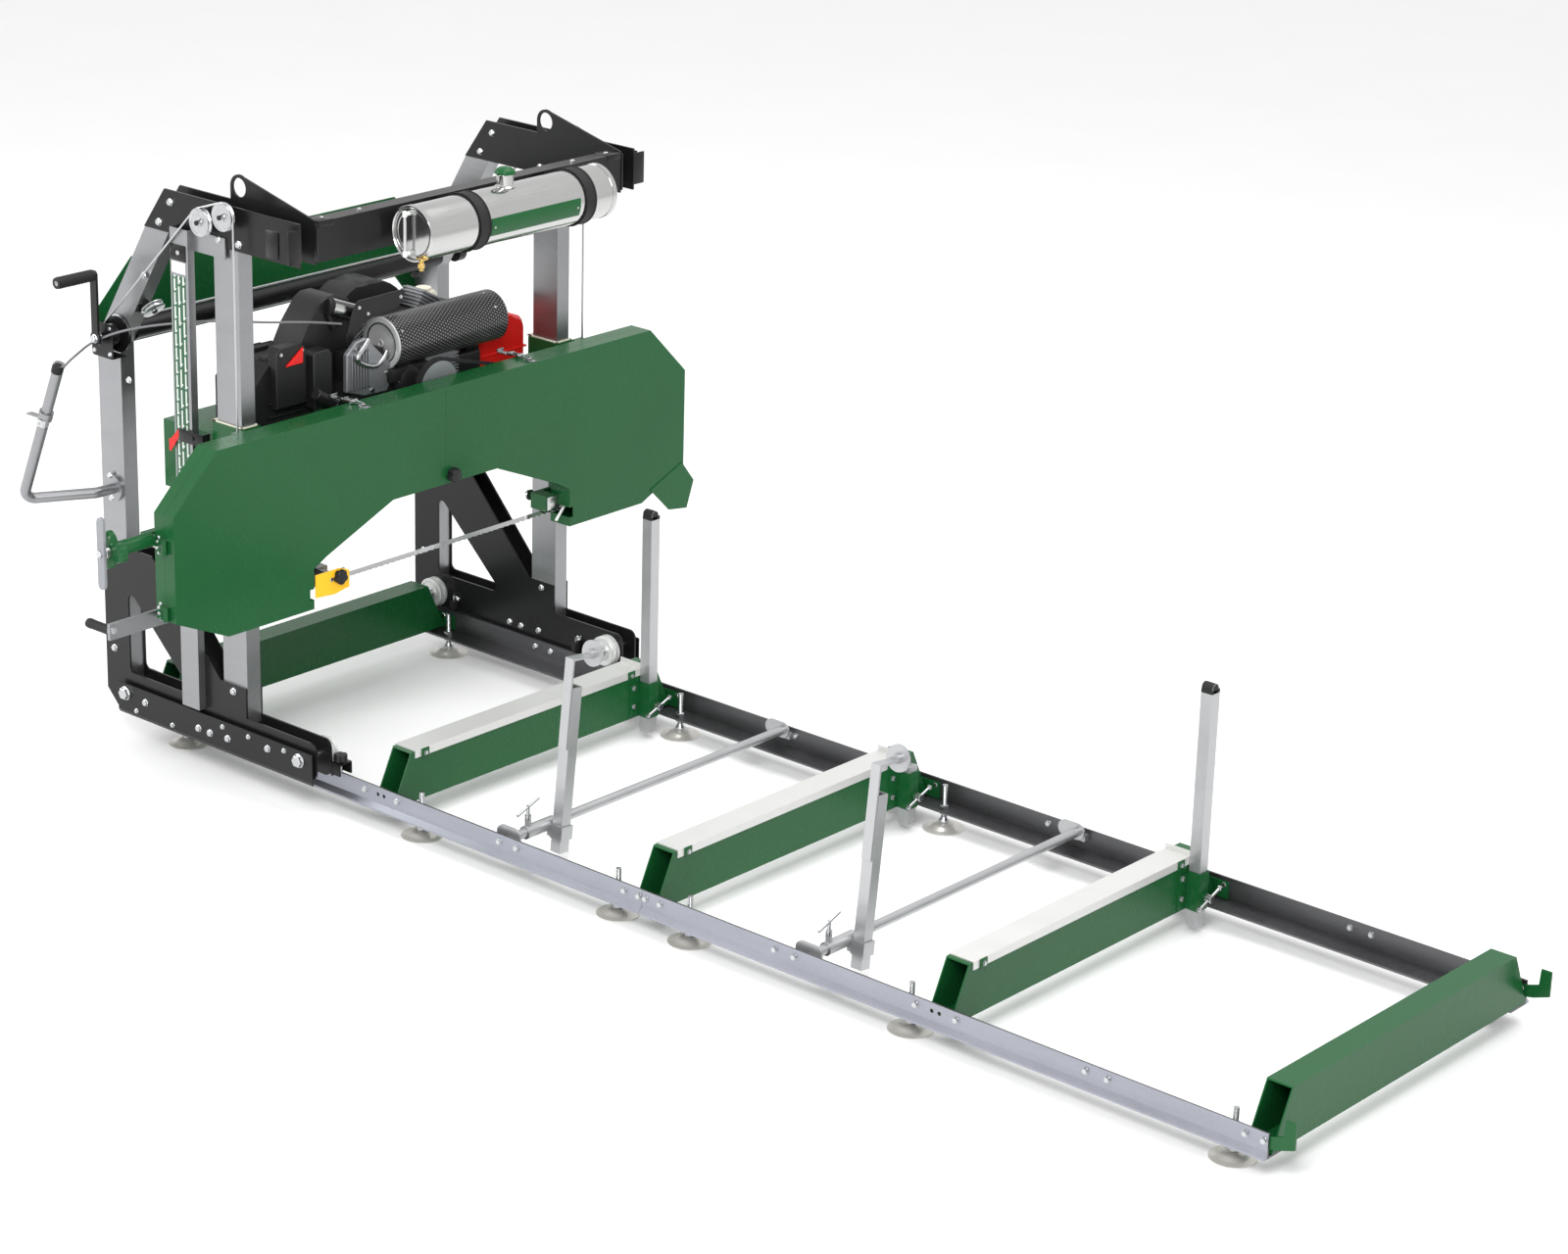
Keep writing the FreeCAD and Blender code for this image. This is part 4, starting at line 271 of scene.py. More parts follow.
@dataclass(frozen=True)
class PowderCoat(Recipe):
    """Baked powder paint with its orange peel and a little dust."""

    rough: float = 0.3
    peel: float = 0.00012
    dust_limit: float = 0.66
    dust_share: float = 0.1

    def paint(self, shader: Shader) -> None:
        """Clouds in the colour, dust where it is scuffed, and the peel."""
        patch = shader.noise(3.5, 4.0)
        scuff = shader.noise(38.0, 6.0, shader.stretched((1.0, 2.6, 1.0)))
        shade = shader.blend(patch, self.tone.shade(0.88), self.tone.shade(1.12))
        dusty = (scuff > self.dust_limit) * self.dust_share
        shader.feed(Base_Color=shader.blend(dusty, shade, self.tone.shade(1.6)),
                    Roughness=patch * 0.12 + scuff * 0.08 + (self.rough - 0.1),
                    Coat_Weight=0.06, Coat_Roughness=0.12, Specular_IOR_Level=0.22,
                    Normal=shader.bump(shader.noise(720.0, 2.0), self.peel, 0.55))


@dataclass(frozen=True)
class Galvanised(Recipe):
    """Zinc-dipped steel with its crystals, streaks and rubbed spots."""

    crystal: float = 85.0
    contrast: float = 0.16
    rough: float = 0.34
    metal: float = 0.9
    # Where an inner tone is given, surfaces nearer the middle in Y than this line take it as painted shade.
    inner: Tone | None = None
    painted_shade_line: float = 0.5846

    def paint(self, shader: Shader) -> None:
        """Crystals and streaks, and, where an inner tone is given, painted shade in that darker tone nearer the middle.
        """
        warped = shader.node("ShaderNodeVectorMath", {"operation": "ADD"}, {
            0: shader.place(), 1: shader.node("ShaderNodeTexNoise", {}, {"Scale": 22.0}, "Color")})
        cells = shader.cells(self.crystal, warped)
        streak = shader.noise(9.0, 6.0, shader.stretched((0.4, 1.0, 3.0)))
        mix = cells * 0.45 + streak * 0.55
        shade = shader.blend(mix, self.tone.shade(1 - self.contrast), self.tone.shade(1 + self.contrast))
        if self.inner:
            # Painted shade: nearer the middle than the line, the colour turns to the darker inner tone.
            shaded_inside = (shader.axis("Y") * shader.axis("Y")) < self.painted_shade_line ** 2
            shade = shader.blend(shaded_inside, shade, shader.blend(mix, self.inner.shade(0.55), self.inner.shade(1.6)))
        shader.feed(Base_Color=shade, Metallic=self.metal,
                    Roughness=cells * 0.12 + streak * 0.16 + (self.rough - 0.12),
                    Normal=shader.bump(shader.noise(300.0, 4.0), 0.0001, 0.35))


@dataclass(frozen=True)
class Brushed(Recipe):
    """Bright sheet or bar with fine lines along one axis."""

    lines: tuple[float, float, float] = (20.0, 20.0, 20.0)
    rough: float = 0.26
    depth: float = 0.00003

    def paint(self, shader: Shader) -> None:
        """Lines in colour, roughness and height, with a soft smear over them."""
        lines = shader.noise(14.0, 8.0, shader.stretched(self.lines))
        smear = shader.noise(5.0, 3.0)
        shader.feed(Base_Color=shader.blend(lines, self.tone.shade(0.88), self.tone.shade(1.08)), Metallic=1.0,
                    Roughness=lines * 0.1 + smear * 0.14 + (self.rough - 0.12),
                    Normal=shader.bump(lines, self.depth, 0.5))


@dataclass(frozen=True)
class Moulded(Recipe):
    """Moulded plastic or rubber with a fine grain."""

    rough: float = 0.42
    grain: float = 900.0
    depth: float = 0.00008

    def paint(self, shader: Shader) -> None:
        """A clouded colour and the grain."""
        cloud = shader.noise(12.0, 4.0)
        shader.feed(Base_Color=shader.blend(cloud, self.tone.shade(0.85), self.tone.shade(1.25)),
                    Roughness=cloud * 0.14 + (self.rough - 0.07), Specular_IOR_Level=0.28,
                    Normal=shader.bump(shader.noise(self.grain, 2.0), self.depth, 0.6))


@dataclass(frozen=True)
class Perforated(Recipe):
    """Dark steel sheet with staggered round holes, rolled round an axis along Y; the holes are painted light grey as
    light seen through them and their glints.
    """

    centre: tuple[float, float]
    radius: float
    pitch: float = 0.0105
    row_share: float = 0.866
    hole: float = 0.2
    hole_depth: float = 0.0012

    def paint(self, shader: Shader) -> None:
        """Rows of holes round the axis, every second row shifted by half a step."""
        over = shader.axis("X") - self.centre[0]
        up = shader.axis("Z") - self.centre[1]
        around_axis = shader.math("ARCTAN2", up, over) * (self.radius / self.pitch)
        along = shader.axis("Y") * (1.0 / (self.pitch * self.row_share))
        row = shader.math("FLOOR", along)
        odd = shader.math("PINGPONG", row, 1.0)
        across = shader.math("FRACT", around_axis + odd * 0.5) - 0.5
        down = (along - row) - 0.5
        hole = (across * across + down * down) ** 0.5 < self.hole
        # The holes take a light grey: painted light through them and painted glints.
        shader.feed(Base_Color=shader.blend(hole, self.tone, Tone.PAINTED_HOLE_LIGHT), Metallic=0.2,
                    Roughness=hole * 0.4 + 0.3, Normal=shader.bump(1.0 - hole, self.hole_depth, 0.8))


@dataclass(frozen=True)
class RuleStrip(Recipe):
    """A dark height scale with three white broken columns and ticks beside them."""

    low: float
    left: float
    width: float
    columns: tuple[tuple[float, float, float], ...] = ((0.18, 0.05, 4.0), (0.5, 0.05, 6.0), (0.84, 0.05, 5.0))

    def paint(self, shader: Shader) -> None:
        """Each column is a place across the strip, half its width, and its step in centimetres."""
        height = (shader.axis("Z") - self.low) * 100.0
        over = (shader.axis("X") - self.left) * (1.0 / self.width)
        ink = 0.0
        for place, half, step in self.columns:
            part = shader.math("FRACT", height * (1.0 / step))
            line = (over > (place - half)) * (over < (place + half)) * (part > 0.12)
            tick = (over > place) * (over < (place + half * 2.6)) * (part < 0.3) * (part > 0.22)
            ink = ink + line + tick
        ink = shader.node("ShaderNodeClamp", {}, {0: ink})
        shader.feed(Base_Color=shader.blend(ink, self.tone, Tone.INK), Roughness=shader.noise(30.0) * 0.2 + 0.3)


@dataclass(frozen=True)
class Glassy(Recipe):
    """Clear or milky plastic."""

    alpha: float = 0.5

    def paint(self, shader: Shader) -> None:
        """A faint cloud in colour, clearness and gloss."""
        cloud = shader.noise(60.0)
        shader.feed(Base_Color=shader.blend(cloud, self.tone, self.tone.shade(0.8)),
                    Alpha=cloud * 0.1 + self.alpha, Roughness=cloud * 0.1 + 0.08)


class Finishes:
    """Every finish on the machine, made once and found by its plain word."""

    def __init__(self, recipes: dict[str, Recipe]) -> None:
        self.made = {key: recipe.make() for key, recipe in recipes.items()}

    def __getitem__(self, key: str) -> bpy.types.Material:
        """A finish by its plain word."""
        return self.made[key]

    def add(self, key: str, recipe: Recipe) -> None:
        """Make a finish whose place depends on the frame."""
        self.made[key] = recipe.make()


FINISHES = Finishes({
    "green": PowderCoat("green_powder_coat", Tone.GREEN, 0.27),
    "black": PowderCoat("black_powder_coat", Tone.BLACK),
    "yellow": PowderCoat("yellow_powder_coat", Tone.YELLOW),
    "galvanised": Galvanised("galvanised_steel", Tone.GALVANISED),
    # The rails' inner faces get painted shade from the darker inner tone.
    "rail": Galvanised("rail_steel", Tone.RAIL, 55.0, 0.3, 0.38, inner=Tone.SHADED_INNER_RAIL),
    # The caps' lighter tone is a painted reflection.
    "cap": Galvanised("stainless_cap_painted_reflection", Tone.CAP_PAINTED_REFLECTION, 220.0, 0.07, 0.38, 0.5),
    "dish": Galvanised("polished_dish", Tone.DISH, 200.0, 0.06, 0.3, 0.5),
    "pipe": Galvanised("bright_galvanised", Tone.PIPE, 85.0, 0.14, 0.34, 0.75),
    "satin": Galvanised("satin_steel", Tone.SATIN, 160.0, 0.08, 0.34, 0.35),
    "cast": Galvanised("cast_aluminium", Tone.CAST, 240.0, 0.14, 0.45, 0.75),
    "iron": Galvanised("cast_iron", Tone.CAST, 300.0, 0.2, 0.5, 0.8),
    "zinc": Brushed("zinc_plated_steel", Tone.ZINC),
    "brass": Brushed("brass", Tone.BRASS),
    "stainless": Brushed("brushed_stainless", Tone.STAINLESS, (2.0, 60.0, 60.0), 0.24),
    "mirror_stainless": Brushed("polished_stainless", Tone.CHROME, (40.0, 1.0, 40.0), 0.16),
    "rope": Brushed("steel_rope", Tone.ZINC, (260.0, 260.0, 260.0), 0.35, 0.0004),
    "plastic": Moulded("black_plastic", Tone.SOOT),
    "rubber": Moulded("black_rubber", Tone.SOOT, 0.62, 500.0),
    "red": Moulded("red_plastic", Tone.RED, 0.3),
    "cream": Moulded("cream_plastic", Tone.CREAM, 0.4),
    "white": Moulded("white_plastic", Tone.WHITE, 0.4),
    "cable_sheath": Moulded("cable_sheath", Tone.SHEATH, 0.5),
    "hose": Glassy("clear_hose", Tone.CLEAR),
    "milky": Glassy("milky_bowl", Tone.MILKY, 0.82),
})


def both(values: Iterable[float]) -> list[float]:
    """Every value with its mirror image."""
    return [sign * value for value in values for sign in (1, -1)]


def around(count: int, radius: float, first: float = 0.0) -> Iterator[tuple[float, float]]:
    """Even steps round a circle.

    Args:
        count: how many.
        radius: the circle's radius.
        first: the first one's angle in degrees.
    Returns:
        Each place as a distance across and a distance up.
    """
    for i in range(count):
        turn = math.tau * i / count + math.radians(first)
        yield radius * math.cos(turn), radius * math.sin(turn)


def threaded(root: float, ridge: float, pitch: float, foot: float = 0.0, tip: float = 1.0) -> Outline:
    """The lathe outline of a threaded rod, whose tip stands out over its last ridge."""
    steps = [(root + ridge * (i % 2), foot + i * pitch) for i in range(THREAD_STEPS)]
    return [(0, foot), *steps, (0, steps[-1][1] + tip)]


def heading(way: Way | Vector) -> Vector:
    """A direction as a unit vector."""
    return Vector(way.value) if isinstance(way, Way) else way.normalized()


class Form:
    """A piece put together from turned, sawn and bent shapes, in millimetres."""

    def __init__(self, name: str) -> None:
        self.name = name
        self.mesh = bmesh.new()

    def _ring(self, points: Iterable[Vector]) -> list[bmesh.types.BMVert]:
        """New corners at the points."""
        return [self.mesh.verts.new(point) for point in points]

    def _skin(self, rings: Sequence[list], ends: bool = False) -> "Form":
        """Faces from each ring of corners to the next, and over both ends where asked."""
        for low, high in zip(rings, rings[1:]):
            steps = max(len(low), len(high))
            for i in range(steps):
                j = (i + 1) % steps
                corners = (low[i % len(low)], low[j % len(low)], high[j % len(high)], high[i % len(high)])
                unique = list(dict.fromkeys(corners))
                if len(unique) > 2:
                    self.mesh.faces.new(unique)
        if ends:
            self.mesh.faces.new(rings[0][::-1])
            self.mesh.faces.new(rings[-1])
        return self

    def turned(self, at: Point, way: Way | Vector, profile: Outline, steps: int = 32,
               lobes: int = 0, depth: float = 0.0) -> "Form":
        """A lathe shape, with rounded lobes round it where a number of them is given.

        Args:
            at: its foot.
            way: its axis.
            profile: pairs of radius and height.
            steps: the sides of its round.
            lobes: how many lobes.
            depth: how deep they are, as a share of the radius.
        Returns:
            The form itself.
        """
        turn = Vector(Way.UP.value).rotation_difference(heading(way)).to_matrix().to_4x4()
        move = Matrix.Translation(Vector(at)) @ turn
        rings = []
        for radius, height in profile:
            angles = [math.tau * i / steps for i in range(steps if radius > 0 else 1)]
            reach = [radius * (1 - depth * (0.5 - 0.5 * math.cos(lobes * angle)) ** 2) for angle in angles]
            rings.append(self._ring(move @ Vector((r * math.cos(angle), r * math.sin(angle), height))
                                    for r, angle in zip(reach, angles)))
        return self._skin(rings)

    def lobed(self, at: Point, way: Way, radius: float, height: float, lobes: int = 5,
              depth: float = 0.22) -> "Form":
        """A knob with rounded lobes round its rim."""
        shares = ((0.0, 0.0), (0.9, 0.0), (1.0, 0.12), (1.0, 0.82), (0.88, 1.0), (0.3, 1.0), (0.0, 1.06))
        return self.turned(at, way, [(radius * out, height * up) for out, up in shares], 60, lobes, depth)

    def disc(self, at: Point, way: Way | Vector, radius: float, height: float,
             edge: float = 0.6, steps: int = 32) -> "Form":
        """A short cylinder with eased edges."""
        edge = min(edge, height * 0.45, radius * 0.45)
        return self.turned(at, way, ((0, 0), (radius - edge, 0), (radius, edge), (radius, height - edge),
                                     (radius - edge, height), (0, height)), steps)

    def ring(self, at: Point, way: Way, outer: float, inner: float, height: float, steps: int = 32) -> "Form":
        """A washer or a short tube."""
        return self.turned(at, way, ((inner, 0), (outer, 0), (outer, height), (inner, height), (inner, 0)), steps)

    def bolt(self, at: Point, way: Way | Vector, size: float = 10.0) -> "Form":
        """A hexagon head on its washer."""
        head, washer, top = size * 0.98, size * 0.18, size * 0.62
        self.disc(at, way, size * 1.12, washer, 0.3, 24)
        return self.turned(Vector(at) + heading(way) * washer, way, (
            (head, 0), (head, size * 0.5), (head * 0.86, top), (0, top)), 6)

    def bolts(self, places: Iterable[Point], way: Way, size: float) -> "Form":
        """A hexagon head on its washer at each place."""
        for at in places:
            self.bolt(at, way, size)
        return self

    def curved(self, centre: tuple[float, float], radius: float, thick: float, turn: tuple[float, float],
               span: tuple[float, float], steps: int = 12) -> "Form":
        """A plate bent round an axis along Y, between two angles in degrees."""
        section = ((radius, span[0]), (radius + thick, span[0]), (radius + thick, span[1]), (radius, span[1]))
        angles = [math.radians(turn[0] + (turn[1] - turn[0]) * i / steps) for i in range(steps + 1)]
        return self._skin([self._ring(
            Vector((centre[0] + reach * math.cos(angle), y, centre[1] + reach * math.sin(angle)))
            for reach, y in section) for angle in angles], ends=True)

    def block(self, one: Point, other: Point, edge: float = 1.5) -> "Form":
        """A box with eased edges between two opposite corners."""
        low, high = Vector(map(min, one, other)), Vector(map(max, one, other))
        size, middle = high - low, (low + high) / 2
        made = bmesh.ops.create_cube(self.mesh, size=1.0)["verts"]
        for vert in made:
            vert.co = vert.co * size + middle
        bmesh.ops.bevel(self.mesh, geom=list({e for v in made for e in v.link_edges}),
                        offset=min(edge, min(size) * 0.4), segments=2, profile=0.5, affect="EDGES")
        return self

    def sheet(self, outline: Outline, axis: str, start: float, end: float, edge: float = 0.8) -> "Form":
        """A flat plate cut to an outline and padded along an axis."""
        low, high = (self._ring(
            Vector({"x": (depth, a, b), "y": (a, depth, b), "z": (a, b, depth)}[axis])
            for a, b in outline) for depth in (start, end))
        faces = self.mesh.faces.new(low[::-1]), self.mesh.faces.new(high)
        self._skin((low, high))
        bmesh.ops.bevel(self.mesh, geom=list({e for f in faces for e in f.edges}), offset=edge,
                        segments=1, affect="EDGES")
        return self

    def bar(self, points: Sequence[Point], radius: float, sides: int = 12, smooth: int = 0) -> "Form":
        """A round bar along a path, smoothed by cutting its corners."""
        path = [Vector(p) for p in points]
        for _ in range(smooth):
            cut = [a.lerp(b, share) for a, b in zip(path, path[1:]) for share in (0.25, 0.75)]
            path = [path[0], *cut, path[-1]]
        rings = []
        side = None
        for spot, behind, ahead in zip(path, (path[0], *path), (*path[1:], path[-1])):
            way = (ahead - behind).normalized()
            side = side or way.orthogonal().normalized()
            side = (side - way * side.dot(way)).normalized()
            other = way.cross(side)
            rings.append(self._ring(spot + side * across + other * up for across, up in around(sides, radius)))
        return self._skin(rings, ends=True)

    def done(self, finish: str, body: str, *replaces: str) -> bpy.types.Object:
        """Turn the shape into an object that rides on a body.

        Args:
            finish: the plain word of its finish.
            body: the body that carries it.
            replaces: nodes that it stands for.
        Returns:
            The finished object.
        """
        bmesh.ops.recalc_face_normals(self.mesh, faces=self.mesh.faces)
        bmesh.ops.scale(self.mesh, vec=(MM, MM, MM), verts=self.mesh.verts)
        data = bpy.data.meshes.new(self.name)
        self.mesh.to_mesh(data)
        self.mesh.free()
        for face in data.polygons:
            face.use_smooth = True
        data.set_sharp_from_angle(angle=SHARP_ANGLE)
        data.materials.append(FINISHES[finish])
        made = bpy.data.objects.new(self.name, data)
        bpy.context.scene.collection.objects.link(made)
        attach(made, body)
        if replaces:
            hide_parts(*replaces)
        LOG.info("%s rides on %s", self.name, body)
        return made


def dress(finish: str, *nodes: str) -> None:
    """Give nodes of the frame their finish.

    Args:
        finish: the plain word of the finish.
        nodes: the nodes' names.
    """
    for node in nodes:
        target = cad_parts[node]
        if not target.material_slots:
            target.data.materials.append(None)
        for slot in target.material_slots:
            slot.material = FINISHES[finish]


def low_high(node: str) -> tuple[Vector, Vector]:
    """A node's corners in millimetres."""
    low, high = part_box(node)
    return low / MM, high / MM


@dataclass
class Track:
    """Rails, bunks, feet and their bolts."""

    web_face: float = 585.0
    web: float = 6.2
    bolt_line: float = 102.0
    bolt_size: float = 8.6
    bolts: tuple[float, ...] = (12, 65, 467, 533, 935, 1065, 1467, 1533, 1935, 1988)
    feet: tuple[float, ...] = (130, 885, 1875)
    foot_line: float = 537.0
    rod_foot: float = 18.0
    nut_heights: tuple[float, ...] = (44, 62)
    dish: Outline = ((0, 0), (58, 0), (60, 0.8), (60, 2.6), (56, 3.4), (47, 4.4), (40, 7), (34, 12), (26, 16.5),
                     (17, 18), (0, 18))
    ball: Outline = ((13, 0), (15, 3), (15, 9), (11, 15), (9, 20), (0, 20))
    nut: Outline = ((0, 0), (12.4, 0), (13.8, 1), (13.8, 11), (12.4, 12), (0, 12))
    bunks: tuple[float, ...] = (-1000, 0, 1000)
    bunk_face: float = 40.6
    clip_lines: tuple[float, ...] = (-452, 398)
    clip_half: float = 14.0
    clip_rise: tuple[float, float] = (196, 221)
    clip_thick: float = 4.0

    def build(self) -> None:
        """Dress the track."""
        dress("rail", "track_rails")
        dress("green", "log_bunks", "post_sockets")
        dress("cap", "bunk_caps")
        dress("pipe", "dog_pipes")
        self._bolts()
        self._feet()
        self._clips()

    def _bolts(self) -> None:
        """Hexagon bolts through both rails' webs."""
        heads = Form("web_bolts")
        for side, out, back in SIDES:
            for face, way in ((self.web_face, out), (self.web_face - self.web, back)):
                heads.bolts([(x, face * side, self.bolt_line) for x in both(self.bolts)], way, self.bolt_size)
        heads.done("zinc", "track", "track_bolts")

    def _feet(self) -> None:
        """Dished feet with their ball nuts, threaded rods and lock nuts."""
        dishes, rods = Form("foot_dishes"), Form("foot_rods")
        for x in both(self.feet):
            for y in both([self.foot_line]):
                dishes.turned((x, y, 0), Way.UP, self.dish, 48)
                rods.turned((x, y, self.rod_foot), Way.UP, self.ball, 24)
                rods.turned((x, y, self.rod_foot), Way.UP, threaded(7.2, 0.8, 1.6, 20), 16)
                for z in self.nut_heights:
                    rods.turned((x, y, z), Way.UP, self.nut, 6)
        dishes.done("dish", "track", "leveling_feet")
        rods.done("zinc", "track")

    def _clips(self) -> None:
        """Green clips that hold the bunk caps down."""
        clips, screws = Form("cap_clips"), Form("cap_clip_bolts")
        low, high = self.clip_rise
        for x in (bunk + self.bunk_face for bunk in self.bunks):
            for y in self.clip_lines:
                clips.block((x, y - self.clip_half, low), (x + self.clip_thick, y + self.clip_half, high), 1.0)
                screws.bolt((x + self.clip_thick, y, 207), Way.RIGHT, 6)
        clips.done("green", "track")
        screws.done("zinc", "track")


@dataclass
class PostsAndDogs:
    """The log posts in their sockets and the sliding dogs."""

    post_line: float = 455.0
    bunk_face: float = 40.6
    bar_reach: float = 46.0
    bar_rise: float = 17.0
    bar: float = 4.5
    bar_knob: float = 6.2
    roller: float = 14.4
    gap: float = 0.4
    socket_bolts: tuple[tuple[float, float], ...] = ((412, 105), (412, 163))

    def build(self) -> None:
        """Dress posts, dogs and their clamp handles."""
        dress("pipe", *(f"log_post_{n}" for n in (1, 2, 3)),
              *(f"dog_{piece}_{n}" for n in (1, 2) for piece in ("sleeve", "hook")))
        dress("zinc", "dog_handle_1", "dog_handle_2")
        for number in (1, 2, 3):
            self._post_handle(f"post_handle_{number}")
        for number in (1, 3):
            self._roller(number)
        bolts = Form("socket_bolts")
        for bunk in Track.bunks:
            bolts.bolts([(bunk + self.bunk_face, *spot) for spot in self.socket_bolts], Way.RIGHT, 7.5)
        bolts.done("zinc", "track")

    def _post_handle(self, node: str) -> None:
        """The clamp screw of one post with its sliding bar."""
        low, high = low_high(node)
        z, long = (low.z + high.z) / 2, high.x - low.x
        screw = Form(f"{node}_screw").turned((low.x, self.post_line, z), Way.RIGHT, (
            (0, 0), (7, 0), (7, 12), (10, 12.5), (11, 14), (11, long - 1.5), (9.5, long), (0, long)), 28)
        ends = [(high.x - 9, self.post_line + sign * self.bar_reach, z + sign * self.bar_rise) for sign in (-1, 1)]
        screw.bar(ends, self.bar, 14)
        for x, y, up in ends:
            screw.disc((x - self.bar_knob, y, up), Way.RIGHT, self.bar_knob, self.bar_knob * 2, 2)
        screw.done("zinc", node, node)

    def _roller(self, number: int) -> None:
        """The black cap with a roller on a tall post."""
        low, high = low_high(f"log_post_{number}")
        left, right, top = low.x - self.gap, high.x + self.gap, high.z
        cap = Form(f"post_cap_{number}")
        cap.disc((left, (low.y + high.y) / 2 - 3, top - 14), Way.RIGHT, self.roller, right - left, 1.5)
        cap.block((left, low.y - self.gap, top - 28), (right, high.y + self.gap, top - 17), 1.5)
        cap.done("rubber", f"log_post_{number}")


@dataclass
class Carriage:
    """Side frames, wheels, the rail lock, the top frame's plates and the height scale."""

    outer: float = 660.0
    inner: float = 598.0
    guard_face: float = 676.0
    low_bolts: Outline = ((-1664, 145), (-1614, 144), (-1538, 148), (-1368, 165), (-1898, 160))
    plate_bolts: Outline = ((-1527, 292), (-2049, 288), (-2035, 560),
                            (-1745, 1686), (-1795, 1621), (-1544, 1617), (-1463, 1618))
    guard_bolts: Outline = ((-1940, 122), (-1780, 122), (-1560, 178), (-1450, 178), (-1300, 178))
    wheels: tuple[tuple[str, float], ...] = (("front_wheels", -1237), ("rear_wheels", -1987))
    wheel_face: float = 568.0
    axle_height: float = 166.0
    axle_nut: float = 19.0
    rim: Outline = ((0, 0), (13, 0), (13, 3), (24, 3.5), (27, 0.5), (36, 0.5), (38, 2.5), (44, 2.5), (46.6, 0.2),
                    (46.6, -4))
    scrapers: tuple[tuple[float, float], ...] = ((-1366, 1), (-1898, -1))
    rail_line: float = 583.0
    scale: tuple[float, float] = (-1718, -1662)
    scale_rise: tuple[float, float] = (560, 1490)

    def build(self) -> None:
        """Dress the carriage."""
        dress("black", "side_frames", "top_frame", "wheel_guards", "lift_bearings", "lift_crank")
        dress("galvanised", "frame_posts", "scale_post", "push_handle")
        dress("green", "rear_guard")
        dress("mirror_stainless", "lube_tank")
        dress("rope", "frame_cables", "lift_cables")
        dress("rubber", "tank_straps")
        dress("satin", "front_wheels", "rear_wheels")
        dress("zinc", "wheel_axles")
        self._bolts()
        self._wheels()
        self._scrapers()
        self._lock()
        self._beam_ends()
        self._scale()

    def _bolts(self) -> None:
        """Bolts through the side plates, the wheel guards and the top plates."""
        bolts = Form("frame_bolts")
        for spots, face in ((self.low_bolts, self.guard_face), (self.plate_bolts, self.outer)):
            for side, out, back in SIDES:
                bolts.bolts([(x, side * face, z) for x, z in spots], out, 10)
                bolts.bolts([(x, side * self.inner, z) for x, z in spots], back, 9)
        bolts.bolts([(x, -self.guard_face, z) for x, z in self.guard_bolts], Way.NEAR, 7)
        bolts.done("zinc", "carriage")

    def _wheels(self) -> None:
        """Rims and caps of the carriage wheels, and hexagon nuts on their axles."""
        for node, x in self.wheels:
            rings, nuts = Form(f"{node}_rims"), Form(f"{node}_nuts")
            for side, out, back in SIDES:
                rings.turned((x, side * self.wheel_face, self.axle_height), back, self.rim, 48)
                nuts.bolt((x, side * self.guard_face, self.axle_height), out, self.axle_nut)
            rings.done("satin", node)
            nuts.done("zinc", "carriage")

    def _scrapers(self) -> None:
        """Rubber rail scrapers hung on bent wires."""
        wipers, wires = Form("rail_scrapers"), Form("scraper_wires")
        for side in (-1, 1):
            for x, lean in self.scrapers:
                y = side * self.rail_line
                wipers.block((x - 9, y - 11, 128), (x + 9, y + 11, 158), 2)
                wires.bar([(x, y, 156), (x, y, 172), (x + lean * 10, side * self.inner, 176)], 2.4, 10, 1)
        wipers.done("rubber", "carriage")
        wires.done("zinc", "carriage")

    def _lock(self) -> None:
        """The lobed knob that locks the carriage on its rail."""
        low, high = low_high("lock_knob")
        x, y = (low.x + high.x) / 2, (low.y + high.y) / 2
        Form("lock_stem").turned((x, y, low.z), Way.UP, ((0, 0), (5, 0), (5, 34), (0, 34)), 20).done(
            "zinc", "lock_knob")
        Form("lock_knob_lobed").lobed((x, y, high.z - 24), Way.UP, 20, 22.6).done("plastic", "lock_knob", "lock_knob")

    def _beam_ends(self) -> None:
        """Channel ends, stiffening lips and end plates of the top frame."""
        plates, bolts = Form("top_plate_lips"), Form("top_plate_bolts")
        for side, out, _ in SIDES:
            plates.block((-1222, side * 654, 1612), (-1217, side * 700, 1706), 1)
            plates.block((-1300, side * 700, 1622), (-1252, side * 709, 1700), 2)
            plates.block((-1219, side * self.inner, 1606), (-1212, side * 604.5, 1714), 1)
            plates.block((-1268, side * 540, 1700), (-1213, side * 596, 1718), 2)
            bolts.bolt((-1530, side * 652, 1630), out, 9)
            bolts.bolts([(-1240, side * y, 1716) for y in (420, 560)], Way.UP, 7)
        plates.done("black", "carriage")
        bolts.done("zinc", "carriage")

    def _scale(self) -> None:
        """The printed height scale on the scale post, with its plain head plate."""
        left, right = self.scale
        low, high = self.scale_rise
        face = low_high("scale_post")[0].y
        FINISHES.add("rule", RuleStrip("height_scale_print", Tone.RULE, low * MM, left * MM, (right - left) * MM))
        Form("height_scale").block((left, face - 0.7, low), (right, face, high), 0.2).done("rule", "carriage")
        Form("scale_label").block((left, face - 0.8, high + 8), (right, face, high + 40), 0.2).done("white", "carriage")
        Form("scale_top").block((left - 4, face - 1.4, high + 44), (right + 4, face, high + 90), 0.4).done(
            "black", "carriage")
        screws = Form("scale_screws")
        for z in (high + 67, low - 15):
            screws.disc(((left + right) / 2, face - 1, z), Way.NEAR, 7, 2.4, 0.8, 24)
        screws.done("zinc", "carriage")


